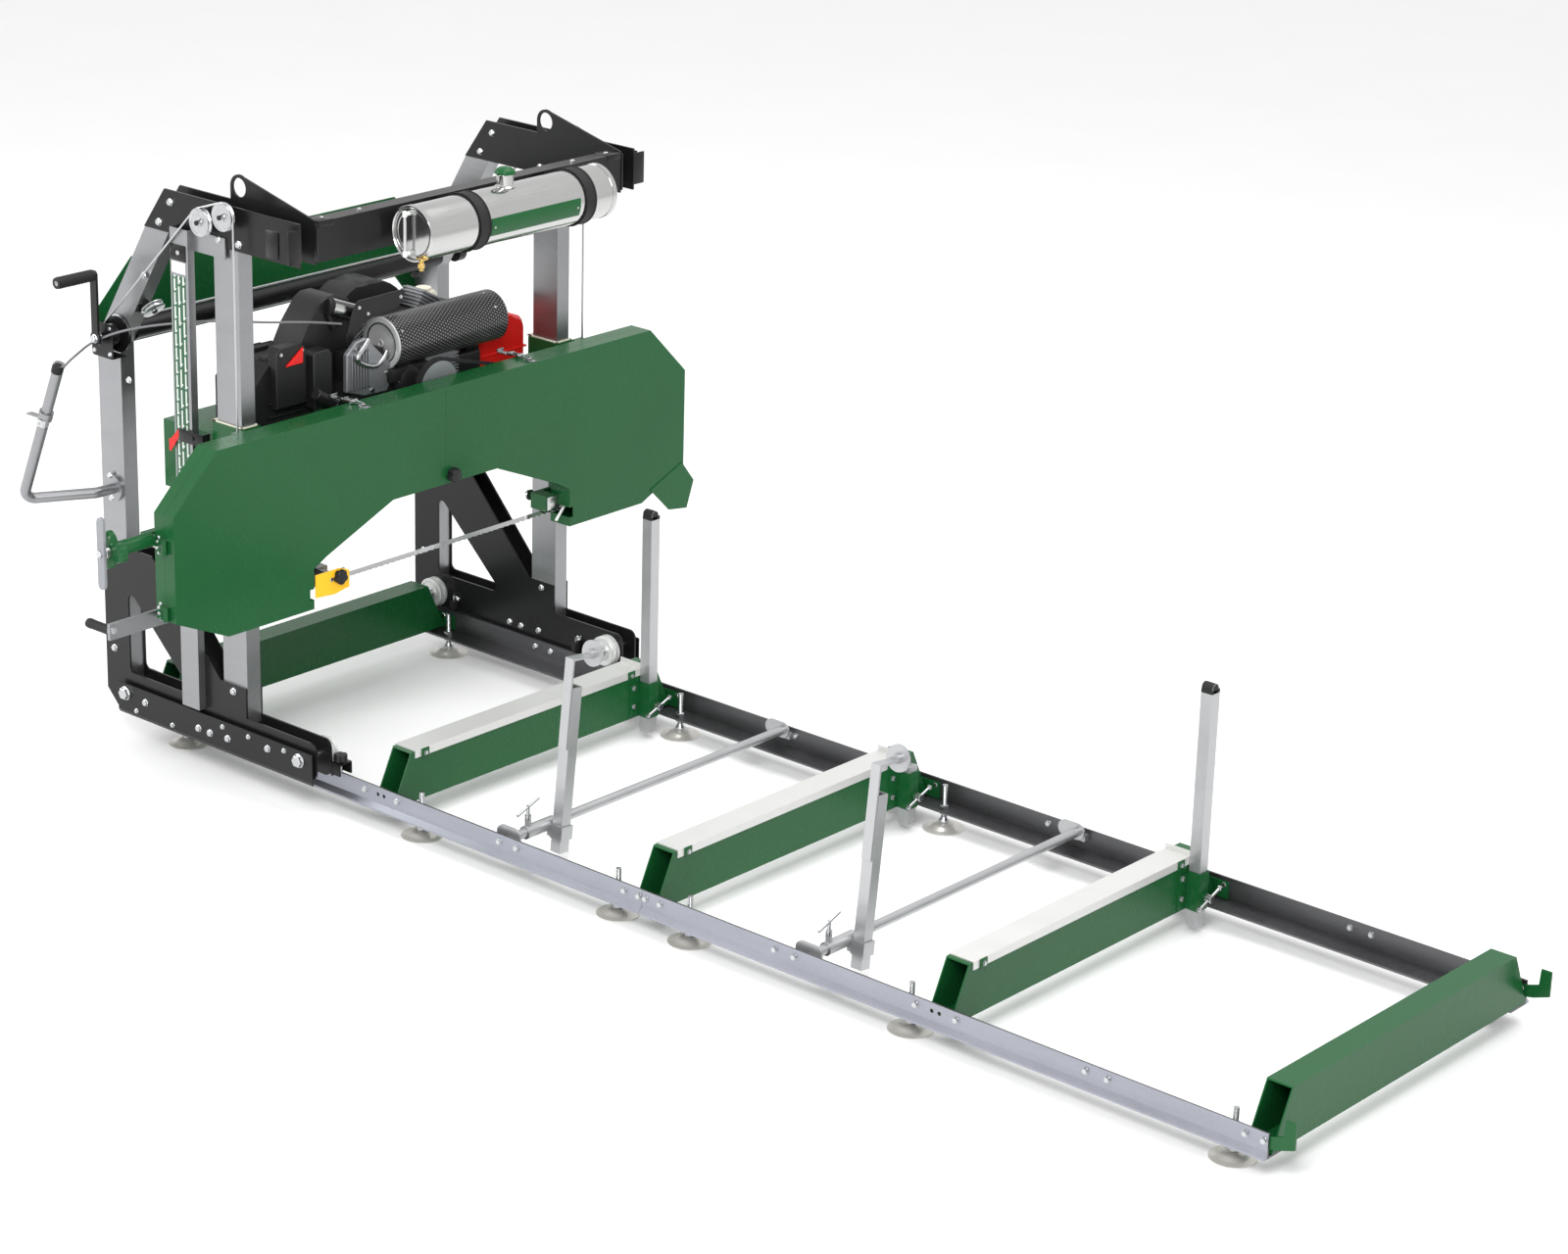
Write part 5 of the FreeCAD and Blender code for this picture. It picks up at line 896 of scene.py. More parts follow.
@dataclass
class LiftGear:
    """Pulleys, idler spools, drum housing and crank that raise the head."""

    pulleys: tuple[tuple[str, float, float, float, float], ...] = (
        ("back_pulleys", -1585, 1664, 108.8, 135.2), ("front_pulleys", -1491, 1696, 0, 108.8))
    pulley: Outline = ((0, 0.5), (12, 0.5), (12, 0), (33, 0), (35, 1.5), (40, 1.5), (40, 4), (35.5, 9), (40, 14),
                       (40, 16.5), (35, 16.5), (33, 15), (12, 15), (12, 18), (0, 18))
    pulley_face: float = 681.0
    cable: float = 3.0
    cable_line: float = 690.0
    cable_reach: float = 38.9
    spool_line: float = 632.0
    spool_place: tuple[float, float] = (-1866, 1352)
    spool_axis: tuple[float, float, float] = (0.705, 0, -0.709)
    spool: Outline = ((0, 0), (30, 0), (34, 1.5), (34, 4), (26, 7), (26, 11), (34, 14), (34, 16.5), (30, 18), (9, 18),
                      (9, 20), (0, 20))
    crank: tuple[float, float] = (-1992, 1259)
    crank_reach: float = 185.0
    plate: float = 660.0
    index_face: float = 659.0
    housing_face: float = 714.0
    housing: Outline = ((-2040, 1204), (-2034, 1198), (-1956, 1198), (-1948, 1206), (-1948, 1286), (-1960, 1300),
                        (-2030, 1300), (-2040, 1290))
    housing_bolts: Outline = ((-2028, 1213), (-1960, 1213), (-1960, 1288))
    grip: Outline = ((0, 0), (14, 0), (17, 3), (16.4, 12), (16.4, 44), (17.2, 66), (16.4, 100), (17.4, 122),
                     (15, 126.5), (0, 126.5))
    grip_rib: Outline = ((16, 0), (17.3, 1.2), (17.3, 4.2), (16, 5.4))

    def build(self) -> None:
        """Dress the lift gear."""
        self._pulleys()
        self._spools()
        self._housing()
        self._crank()

    def _pulleys(self) -> None:
        """Grooved cable pulleys with slotted pins, and the cable's turns round them."""
        turns = Form("cable_turns")
        for node, x, z, first, last in self.pulleys:
            wheels, pins = Form(f"grooved_{node}"), Form(f"{node}_pins")
            steps = max(3, round((last - first) / 8))
            angles = [math.radians(first + (last - first) * i / steps) for i in range(steps + 1)]
            for side, out, _ in SIDES:
                wheels.turned((x, side * self.pulley_face, z), out, self.pulley, 48)
                pins.block((x - 11, side * 696, z - 4.5), (x + 11, side * 704, z + 4.5), 1.2)
                pins.bolt((x, side * 655, z), out, 11)
                turns.bar([(x + self.cable_reach * math.cos(angle), side * self.cable_line,
                            z + self.cable_reach * math.sin(angle)) for angle in angles], self.cable, 10)
            wheels.done("zinc", node, node)
            pins.done("zinc", "carriage")
        turns.done("rope", "carriage")

    def _spools(self) -> None:
        """Idler spools in front of the rear posts, their brackets and the cross cable."""
        axis, (x, z) = Vector(self.spool_axis), self.spool_place
        spools, brackets = Form("idler_spools"), Form("spool_brackets")
        for y in (-self.spool_line, self.spool_line):
            middle = Vector((x, y, z))
            spools.turned(middle - axis * 9, axis, self.spool, 40)
            brackets.bar([middle + Vector((-52, 0, 16)), middle - axis * 10], 8)
            brackets.block((-1921, y - 20, 1335), (-1907, y + 20, 1400), 2)
            brackets.bolt(middle + axis * 10, axis, 8)
        spools.done("zinc", "carriage")
        brackets.done("black", "carriage")
        Form("cross_cable").bar([(-1885, -self.spool_line, 1333), (-1885, self.spool_line, 1333)], self.cable, 10).done(
            "rope", "carriage")

    def _housing(self) -> None:
        """The housing round the winding drum, and the index disc's rim and holes."""
        x, z = self.crank
        house = Form("drum_housing").sheet(self.housing, "y", -self.housing_face, 3 - self.housing_face, 0.6)
        house.block((-2040, -712, 1200), (-2037, -self.plate, 1288), 0.8)
        house.block((-2038, -712, 1198), (-1952, -self.plate, 1201), 0.8).done("black", "carriage")
        Form("index_rim").ring((x, 0.4 - self.index_face, z), Way.NEAR, 55.4, 50.5, 1.6, 64).done("zinc", "carriage")
        holes, bolts = Form("index_holes"), Form("housing_bolts")
        for over, up in around(24, 46):
            holes.disc((x + over, -self.index_face, z + up), Way.NEAR, 2.4, 0.5, 0.1, 10)
        holes.done("plastic", "carriage")
        bolts.bolts([(over, -self.housing_face, up) for over, up in self.housing_bolts], Way.NEAR, 6)
        bolts.bolts([(-1867, -self.plate, 1453), (-1952, 6 - self.plate, 1127)], Way.NEAR, 9)
        bolts.bolt((-1867, self.plate, 1453), Way.FAR, 9)
        bolts.done("zinc", "carriage")

    def _crank(self) -> None:
        """The crank's ribbed grip and its bolts."""
        x, z = self.crank
        top = z + self.crank_reach
        grip = Form("crank_grip").turned((x, -744, top), Way.NEAR, self.grip, 36)
        for i in range(9):
            grip.turned((x, -756 - i * 12, top), Way.NEAR, self.grip_rib, 36)
        grip.done("rubber", "lift_crank")
        ends = Form("crank_bolts").bolt((x, -742, z), Way.NEAR, 12)
        ends.turned((x, -869.5, top), Way.NEAR, ((0, 0), (10, 0), (10, 2), (7, 2.5), (0, 2.5)), 24)
        ends.ring((x, -734, z), Way.FAR, 21, 12.3, 3).done("zinc", "lift_crank")


@dataclass
class PushHandle:
    """End cap, clamp band and bolts of the push handle, and the throttle cable from it to the engine."""

    lean: tuple[float, float, float] = (188, 0, 442)
    tip: tuple[float, float, float] = (-1944, -915, 1222)
    clamp: tuple[float, float, float] = (-2019, -915, 1045)
    lever: tuple[float, float, float] = (-1992, -918, 1110)
    flange_bolts: Outline = ((-2042, 822), (-2037, 755))
    flange_face: float = 663.0
    cable: float = 3.3
    route: tuple[Point, ...] = (
        (-2011, -905, 1114), (-1984, -896, 1172), (-1976, -860, 1212), (-2008, -790, 1222), (-2034, -728, 1232),
        (-1956, -726, 1272), (-1887, -722, 1300), (-1836, -694, 1316), (-1788, -646, 1325), (-1718, -616, 1339),
        (-1655, -588, 1349), (-1600, -560, 1354), (-1566, -480, 1342), (-1548, -330, 1318), (-1560, -196, 1284))

    def build(self) -> None:
        """Dress the handle and hang the cable."""
        way = Vector(self.lean).normalized()
        Form("handle_cap").turned(Vector(self.tip) - way * 20, way, (
            (15.2, 0), (16.2, 1), (16.2, 20), (15, 24), (9, 26), (0, 26)), 32).done("rubber", "carriage")
        clamp = Vector(self.clamp)
        bolts = Form("handle_bolts").bolts([(x, -self.flange_face, z) for x, z in self.flange_bolts], Way.NEAR, 8)
        bolts.turned(clamp - way * 12, way, ((16, 0), (18.5, 1), (18.5, 23), (16, 24)), 32)
        bolts.bolt(clamp + Vector((0, -18, 0)), Way.NEAR, 6)
        bolts.turned(Vector(self.lever) - way * 16, way, (
            (0, 0), (6, 0), (6, 10), (4.4, 14), (4.4, 32), (0, 32)), 16)
        bolts.done("zinc", "carriage")
        sheath = Form("throttle_cable").bar(self.route, self.cable, 10, 2).done("cable_sheath", "carriage")
        sheath.parent = None
        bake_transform(sheath)


@dataclass
class LubeTank:
    """Rims, straps, cap, plate and plumbing of the lubricant tank."""

    axis: tuple[float, float] = (-1115, 1658)
    neck: float = 18.0
    ends: tuple[float, float] = (-335, 385)
    rim: Outline = ((73.5, -1), (73.5, 6), (75.5, 8.5), (78.2, 8.5), (79.6, 6.5), (79.2, -8), (78, -8))
    lid_bead: Outline = ((60, 0.3), (62, 1.5), (71, 1.5), (73.5, 0.3))
    collar: Outline = ((30, 0), (25, 5), (22, 12), (21, 22), (23, 31), (25, 36), (21, 36), (18, 22))
    strap_edges: tuple[float, ...] = (-157, -121, 265, 301)
    strap_edge: Outline = ((80, 0), (83.6, 0), (84, 2), (83.6, 4), (80, 4))
    cap: Outline = ((0, 0), (27, 0), (29, 2), (29, 7), (26.5, 12), (20, 17), (11, 20), (0, 21))
    plate: float = 78.3
    plate_thick: float = 1.2
    plate_turn: tuple[float, float] = (-26, 12)
    plate_span: tuple[float, float] = (-110, 243)
    rivet_inset: float = 12.0
    sight: tuple[float, float] = (-1132, -352)
    sight_rise: tuple[float, float] = (1600, 1712)
    tap: tuple[float, float] = (-1066, -354)

    def build(self) -> None:
        """Dress the tank."""
        self._rims()
        self._cap()
        self._plate()
        self._plumbing()

    def _rims(self) -> None:
        """Rolled rims, the neck's collar and the straps' edges."""
        (x, z), rims, bands = self.axis, Form("tank_rims"), Form("strap_edges")
        for y, way in zip(self.ends, (Way.NEAR, Way.FAR)):
            rims.turned((x, y, z), way, self.rim, 72)
            rims.turned((x, y, z), way, self.lid_bead, 72)
        rims.turned((x, self.neck, z + 74), Way.UP, self.collar, 40).done("mirror_stainless", "carriage")
        for y in self.strap_edges:
            bands.turned((x, y, z), Way.FAR, self.strap_edge, 72)
        bands.done("rubber", "carriage")

    def _cap(self) -> None:
        """The domed cap with its grip ribs and cross pin."""
        x, z = self.axis
        cap = Form("domed_cap").turned((x, self.neck, z + 110), Way.UP, self.cap, 48)
        for over, along in around(24, 28.2):
            cap.disc((x + over, self.neck + along, z + 111), Way.UP, 1.7, 6.5, 0.5, 8)
        cap.done("green", "lube_cap", "lube_cap")
        Form("cap_pin").bar([(x + over, self.neck, z + 128) for over in (-14, 14)], 2.2, 10).done("zinc", "lube_cap")

    def _plate(self) -> None:
        """The bare curved plate with its two rivets."""
        x, z = self.axis
        Form("tank_plate").curved(self.axis, self.plate, self.plate_thick, self.plate_turn, self.plate_span).done(
            "green", "carriage")
        turn = math.radians(sum(self.plate_turn) / 2)
        out = Vector((math.cos(turn), 0, math.sin(turn)))
        rivets = Form("tank_plate_rivets")
        for y in (self.plate_span[0] + self.rivet_inset, self.plate_span[1] - self.rivet_inset):
            rivets.disc(Vector((x, y, z)) + out * (self.plate + 1.1), out, 3.4, 1.6, 0.7, 16)
        rivets.done("zinc", "carriage")

    def _plumbing(self) -> None:
        """The sight tube on the tank's near end, and the tap under it."""
        x, y = self.sight
        low, high = self.sight_rise
        Form("sight_tube").bar([(x, y, low + 2), (x, y, high - 2)], 4.2, 16).done("hose", "carriage")
        fittings, tap, nozzle = Form("sight_fittings"), Form("tank_tap"), Form("tap_elbow")
        for z in self.sight_rise:
            fittings.disc((x, self.ends[0], z), Way.NEAR, 6, 14, 1, 20)
            fittings.disc((x, y, z - 8), Way.UP, 6.6, 16, 1, 20)
        fittings.done("white", "carriage")
        x, y = self.tap
        tap.disc((x, y + 20, low), Way.NEAR, 8, 16, 1, 24)
        tap.bar([(x, y + 6, low), (x, y, low - 8), (x, y, low - 34)], 6.5, 16)
        tap.disc((x, y, low - 28), Way.UP, 9.5, 15, 1.5, 6)
        tap.block((x - 18, y - 4, low - 3), (x + 14, y + 4, low + 3), 1.5).done("brass", "carriage")
        nozzle.bar([(x, y, low - 34), (x, y, low - 44), (x - 8, y, low - 50), (x - 26, y, low - 50)], 7, 16, 1)
        nozzle.disc((x - 26, y, low - 50), Way.LEFT, 9, 8, 1, 6).done("plastic", "carriage")


@dataclass
class SawHead:
    """Covers, wheels, band, guides and the tension gear."""

    side: float = 1028.0
    hinge_lines: tuple[float, float] = (855, 663)
    hinge_bolts: Outline = ((-1406, 9), (-1406, -9), (-1398, 22), (-1398, -22))
    pointer: Outline = ((-1742, 1009), (-1734, 1009), (-1700, 1046), (-1694, 1046), (-1694, 1030), (-1735, 973),
                        (-1742, 973))
    grip: Outline = ((0, 0), (13.4, 0), (14.6, 2), (13.6, 10), (13.6, 70), (14.6, 84), (13, 92.6), (0, 92.6))
    grip_line: tuple[float, float] = (-1164, 628)
    shield: Outline = ((-512, 586), (-440, 580), (-383, 590), (-383, 640), (-400, 648), (-420, 654), (-512, 654))
    shield_face: float = -1340.4
    guide_plate: float = -1380.6
    tension: tuple[float, float] = (-1428, 865)
    tension_half: Outline = ((14, 89), (10, 100), (0, 104), (-10, 100), (-14, 89))
    latches: tuple[tuple[str, float, str], ...] = (("near_latch", -300, "near_door"), ("far_latch", 370, "far_door"))
    latch_pivots: tuple[float, float] = (-1438, -1401)
    latch_line: float = 1110.0
    sleeve: tuple[float, float, float, float] = (-1594, -1577, -1473.5, -1469)
    sleeve_sides: tuple[float, float] = (598, 660)
    sleeve_heights: tuple[float, float] = (1087, 671)
    liner: float = 4.0

    def build(self) -> None:
        """Dress the head."""
        dress("green", "head_frame", "cover_backs", "near_cover_door", "far_cover_door", "far_guide")
        dress("iron", "drive_wheel", "idler_wheel", "engine_pulley")
        dress("zinc", "idler_block")
        dress("stainless", "saw_blade")
        dress("rubber", "drive_belt")
        dress("galvanised", "guide_arm")
        self._hinge_bolts()
        self._pointer()
        self._guide_arm()
        self._far_guide()
        self._cover_knob()
        self._tension()
        for latch in self.latches:
            self._latch(*latch)
        self._sleeve_rims()

    def _hinge_bolts(self) -> None:
        """Small bolts and washers round the door hinges on the covers' side panels."""
        bolts = Form("hinge_bolts")
        for side, out, _ in SIDES:
            for line in self.hinge_lines:
                bolts.bolts([(x, self.side * side, line + rise) for x, rise in self.hinge_bolts], out, 4.6)
        bolts.done("zinc", "head")

    def _pointer(self) -> None:
        """The pointer that reads the height scale."""
        bracket = Form("scale_pointer_bracket").block((-1700, -692, 1011), (-1598, -689, 1048), 1)
        bracket.block((-1602, -691, 1011), (-1598, -664, 1048), 1)
        bracket.bolt((-1640, -692, 1030), Way.NEAR, 6).done("black", "head")
        Form("scale_pointer").sheet(self.pointer, "y", -691.4, -689.6, 0.3).done("red", "head")

    def _guide_arm(self) -> None:
        """Grip, shield and knob of the sliding blade guide."""
        Form("guide_grip").turned((-1449, *self.grip_line), Way.LEFT, self.grip).done("rubber", "guide_arm")
        ends = Form("guide_grip_ends").disc((-1541.2, *self.grip_line), Way.LEFT, 9, 3, 0.8, 24)
        ends.bolt((-1436, -1164, 632), Way.RIGHT, 9)
        ends.bolt((-1340, -452, 627), Way.RIGHT, 7).done("zinc", "guide_arm")
        Form("guide_shield").sheet(self.shield, "x", self.shield_face, self.shield_face + 4, 0.5).done(
            "yellow", "guide_arm")
        Form("shield_knob").lobed((self.shield_face + 3.8, -424, 630.5), Way.RIGHT, 22, 18).done(
            "plastic", "guide_arm")

    def _far_guide(self) -> None:
        """Bright plate, bolts and blade pin of the fixed guide."""
        x = self.guide_plate
        plates = Form("far_guide_plate").block((x - 3, 470, 606), (x, 560, 648), 1)
        plates.bolts([(x, 490, 634), (x, 538, 634)], Way.RIGHT, 7)
        plates.bolt((-1462, 480, 636), Way.LEFT, 15).done("stainless", "head")
        Form("far_guide_pin").bar([(-1378, 545, 612), (-1378, 505, 568)], 4.5, 14).done("white", "head")

    def _cover_knob(self) -> None:
        """The lobed knob that holds both doors shut."""
        low, high = low_high("cover_knob")
        Form("cover_knob_lobed").lobed(
            (low.x, (low.y + high.y) / 2, (low.z + high.z) / 2), Way.RIGHT, 22, (high.x - low.x) / 1.06).done(
            "plastic", "cover_knob", "cover_knob")

    def _tension(self) -> None:
        """Three-lobed hub, flat turning bar and thread of the band tension screw."""
        x, z = self.tension
        body = "tension_handle"
        hub = Form("tension_hub").lobed((x, -1154, z), Way.NEAR, 56, 26, 3, 0.5)
        hub.turned((x, -1154, z), Way.FAR, ((0, 0), (20, 0), (20, 8), (0, 8))).done("green", body)
        bar = [(x - over, z + sign * up) for sign in (-1, 1) for over, up in self.tension_half[::-sign]]
        Form("tension_bar").sheet(bar, "y", -1208, -1196, 2).done("iron", body, body)
        boss = Form("tension_boss").disc((x, -1181, z), Way.NEAR, 18, 16, 1, 32)
        boss.bolt((x, -1206, z), Way.NEAR, 11).done("zinc", body)
        Form("tension_thread").turned((x, -1032, z), Way.FAR, threaded(9.4, 0.9, 2.0, tip=2.0), 20).done("zinc", body)

    def _latch(self, node: str, y: float, door: str) -> None:
        """Toggle, spring and wire loop of one door latch, and the catch on its door."""
        toggle, loops, catch = Form(f"{node}_toggle"), Form(f"{node}_loop"), Form(f"{node}_catch")
        pivot, hook = self.latch_pivots
        z = self.latch_line
        toggle.block((-1485, y - 13, 1104), (-1444, y + 13, 1107), 0.8)
        toggle.block((-1485, y - 13, 1104), (-1481, y + 13, 1115), 0.8)
        toggle.block((-1446, y - 10, 1104), (-1426, y + 10, 1113), 1.2)
        toggle.bar([(pivot, y - 13, z), (pivot, y + 13, z)], 3.4, 14)
        for i in range(7):
            toggle.ring((-1425 + i * 2.2, y, z), Way.RIGHT, 5.4, 2.6, 1.3)
        toggle.bar([(hook, y - 13, z), (hook, y + 13, z)], 5.4, 18).done("zinc", node, node)
        for side in (y - 10, y + 10):
            loops.bar([(pivot, side, z), (hook, side, z)], 1.8, 10)
        loops.done("zinc", node)
        catch.block((-1374, y - 12, 1103), (-1340, y + 12, 1105), 0.8)
        catch.bar([(-1364, y - 10, 1108), (-1364, y + 10, 1108)], 3.2, 12)
        catch.bar([(-1393, y - 8, z), (-1360, y - 8, z + 1), (-1354, y, z + 1), (-1360, y + 8, z + 1),
                   (-1393, y + 8, z)], 1.8, 10, 1)
        catch.disc((-1346, y, 1104), Way.UP, 4, 2.4, 0.8, 16).done("zinc", door)

    def _sleeve_rims(self) -> None:
        """Pale liners that stand out of the head's sleeves, top and bottom."""
        rims = Form("sleeve_liners")
        back, back_in, front_in, front = self.sleeve
        inner, outer = self.sleeve_sides
        for side in (-1, 1):
            for low in self.sleeve_heights:
                for x, other, y, far in ((back, back_in, inner, outer), (front_in, front, inner, outer),
                                         (back, front, *((inner, inner + 5) if side > 0 else (outer - 5, outer))),
                                         (back, front, *((outer - 5, outer) if side > 0 else (inner, inner + 5)))):
                    rims.block((x, side * y, low), (other, side * far, low + self.liner), 0.5)
        rims.done("cream", "head")


@dataclass
class PowerUnit:
    """Engine, muffler, fuel tank and battery box."""

    fan: tuple[float, float] = (70, 1215)
    shroud_foot: float = 1130.0
    shroud: tuple[float, float] = (178, 200)
    screen_rings: tuple[float, ...] = (20, 38, 56, 74, 90)
    cowl: Outline = ((-327, 1090), (-327, 1222), (-288, 1278), (-240, 1344), (-216, 1357), (-176, 1357), (-120, 1335),
                     (-120, 1090))
    cowl_foot: Outline = ((-436, 1184), (-404, 1190), (-330, 1226), (-330, 1100), (-436, 1100))
    head_lean: float = 30.0
    head_out: float = 130.0
    fins: int = 9
    fin_pitch: float = 10.4
    muffler: tuple[float, float, float] = (-1555, -45, 1198)
    muffler_radius: float = 76.0
    rivet_turns: tuple[float, ...] = (35, 80, 125, 170)
    cover_plate: Outline = ((-147, 1323), (-131, 1340), (44, 1342), (55, 1334), (27, 1290), (-8, 1282), (-101, 1282),
                            (-175, 1206), (-182, 1240))
    side_box: Outline = ((-446, 1078), (-446, 1240), (-430, 1256), (-350, 1256), (-330, 1236), (-330, 1078))
    front_box: Outline = ((-322, 1060), (-322, 1216), (-312, 1226), (-262, 1226), (-250, 1212), (-250, 1060))
    starter: Outline = ((0, 0), (15, 0), (17, 2), (17, 78), (19, 80), (19, 84), (15, 87), (0, 87))
    dome: Outline = ((51, 0), (51, 12), (48, 20), (38, 27), (20, 31), (0, 32))
    dome_place: tuple[float, float] = (16, 1084)
    casting: Outline = ((-216, 1202), (-178, 1235), (-139, 1239), (-20, 1124), (-60, 1065), (-149, 1068),
                        (-218, 1092))
    plate_bolts: tuple[Point, ...] = ((-1555, -130, 1320), (-1555, 34, 1322), (-1555, -96, 1296),
                                      (-1558, -430, 1238), (-1558, -350, 1238), (-1558, -300, 1208))
    casting_bolts: tuple[Point, ...] = ((-1516, -178, 1216), (-1516, -60, 1120), (-1516, -120, 1080))
    canister: tuple[Point, Point] = ((-1600, -212, 1333), (-1600, -102, 1289))
    bowl: Outline = ((0, 0), (30, 0), (38, 6), (41, 18), (41, 34), (36, 42), (26, 46), (0, 46))
    bowl_place: tuple[float, float] = (-1700, 265)
    wedge: Outline = ((-348, 1246), (-350, 1200), (-412, 1200))
    tank: Outline = ((352, 1016.5), (574, 1016.5), (578, 1030), (578, 1122), (572, 1142), (558, 1158), (536, 1167),
                     (510, 1170), (454, 1170), (428, 1164), (412, 1150), (404, 1128), (396, 1114), (352, 1110))

    def build(self) -> None:
        """Dress the engine and what stands beside it."""
        dress("plastic", "battery_box")
        dress("black", "muffler")
        self._engine_body()
        self._cylinder_heads()
        self._fan_screen()
        self._muffler()
        self._engine()
        self._fittings()
        self._tanks()

    def _engine_body(self) -> None:
        """Crankcase, cowl and fan shroud."""
        body = Form("engine_body")
        for one, other, edge in (((-1720, -190, 1016.3), (-1524, 330, 1112), 6),
                                 ((-1722, -190, 1100), (-1640, 330, 1240), 10),
                                 ((-1602, -190, 1100), (-1524, -60, 1196), 8),
                                 ((-1836, -34, 1016.3), (-1716, 174, 1130), 8)):
            body.block(one, other, edge)
        body.sheet(self.cowl, "x", -1716, -1604, 6)
        body.sheet(self.cowl_foot, "x", -1700, -1606, 4)
        middle, (wide, high) = self.fan[0], self.shroud
        arch = [(middle + wide * math.cos(math.radians(turn)), self.shroud_foot + high * math.sin(math.radians(turn)))
                for turn in range(0, 181, 9)]
        body.sheet([(middle + wide, 1112), *arch, (middle - wide, 1112)], "x", -1838, -1722, 9)
        for x in (-1560, -1580):
            body.block((x, -20, 1100), (x + 8, 40, 1124), 1)
            body.block((x, 300, 1100), (x + 8, 350, 1124), 1)
        body.turned((-1526, 60, 1075), Way.RIGHT, ((0, 0), (50, 0), (50, 4), (46, 6), (0, 6)), 48)
        body.done("plastic", "head", "engine")

    def _cylinder_heads(self) -> None:
        """The two finned heads, leaning outward."""
        fins = Form("cylinder_heads")
        for side in (-1, 1):
            turn = Matrix.Rotation(math.radians(-self.head_lean * side), 4, "X")
            foot = Matrix.Translation((-1680, self.fan[0] + self.head_out * side, 1195)) @ turn
            boxes = [(46 if level % 2 else 44, level * self.fin_pitch, 4.2, 1) for level in range(self.fins)]
            for reach, low, thick, edge in (*boxes, (38, 0, 92, 2)):
                start = len(fins.mesh.verts)
                fins.block((-reach, -reach, low), (reach, reach, low + thick), edge)
                fins.mesh.verts.ensure_lookup_table()
                for vert in fins.mesh.verts[start:]:
                    vert.co = foot @ vert.co
        fins.done("cast", "head")

    def _fan_screen(self) -> None:
        """Rings and spokes in front of the fan."""
        screen = Form("fan_screen")
        y, z = self.fan
        for radius in self.screen_rings:
            screen.ring((-1839, y, z), Way.LEFT, radius + 5, radius, 3, 56)
        for inner, outer in zip(around(12, 14), around(12, 93)):
            screen.bar([(-1840.5, y + over, z + up) for over, up in (inner, outer)], 1.8, 8)
        screen.done("zinc", "head")

    def _muffler(self) -> None:
        """Perforated shroud, deep bright cup and the curled tail pipe."""
        low, high = low_high("muffler")
        middle = (low + high) / 2 * MM
        FINISHES.add("muffler", Perforated(
            "muffler_sheet", Tone.SOOT, (middle.x, middle.z), (high.x - low.x) / 2 * MM))
        (x, y, z), r = self.muffler, self.muffler_radius
        Form("muffler_shroud").turned(self.muffler, Way.FAR, (
            (r - 1, 0), (r + 0.8, 0), (r + 0.8, 430), (r + 0.8, 445), (r - 8, 445.5), (0, 445.5)), 96).done(
            "muffler", "head")
        cup = Form("muffler_cup").turned(self.muffler, Way.NEAR, (
            (r + 1, -6), (r + 1.4, 0.5), (r - 4, 1.5), (r - 14, 1), (r - 19, -3),
            (50, -8), (26, -10.4), (0, -10.6)), 72)
        cup.ring((x, y - 0.6, z), Way.NEAR, 12, 7, 4).done("satin", "head")
        rivets = Form("muffler_rivets")
        for turn in map(math.radians, self.rivet_turns):
            out = Vector((math.cos(turn), 0, math.sin(turn)))
            for line in (-20, 360):
                rivets.disc(Vector((x, line, z)) + out * (r + 0.6), out, 4.2, 2, 0.9, 16)
        rivets.done("zinc", "head")
        Form("tail_pipe").bar([
            (-1508, -140, 1236), (-1500, -168, 1216), (-1498, -196, 1196), (-1502, -186, 1180), (-1506, -151, 1162),
            (-1510, -112, 1150), (-1516, -78, 1160), (-1524, -52, 1180)], 8, 16, 2).done("zinc", "head")

    def _engine(self) -> None:
        """The engine's plates, grey block, dome, boxes and small parts."""
        black, grey, bright = Form("engine_plates"), Form("engine_casting"), Form("engine_bolts")
        black.sheet(self.cover_plate, "x", -1562, -1556, 1)
        black.sheet(self.side_box, "x", -1600, -1560, 3)
        black.sheet(self.front_box, "x", -1592, -1540, 3)
        black.turned((-1500, -354, 1121), Vector((0, 75, -45)), self.starter, 32)
        y, z = self.dome_place
        black.turned((-1520, y, z), Way.RIGHT, self.dome, 64)
        black.block((-1520, -60, 1090), (-1496, 92, 1130), 4).done("plastic", "head")
        for over, up in list(around(24, 44, 8))[:12]:
            bright.disc((-1499, y + over, z + up), Way.RIGHT, 2, 1.6, 0.5, 10)
        bright.bolts(self.plate_bolts, Way.RIGHT, 5)
        grey.sheet(self.casting, "x", -1534, -1516, 3)
        for y in range(-206, -139, 11):
            grey.sheet([(y, 1098), (y, 1200), (y + 4, 1206), (y + 4, 1094)], "x", -1517, -1506, 0.6)
        for z in (1060 + i * 9.5 for i in range(8)):
            grey.sheet([(90, z), (222, z), (222, z + 4), (90, z + 4)], "x", -1522, -1506, 0.6)
        grey.block((-1530, 96, 1058), (-1514, 216, 1134), 2).done("cast", "head")
        bright.bolts(self.casting_bolts, Way.RIGHT, 7).done("zinc", "head")

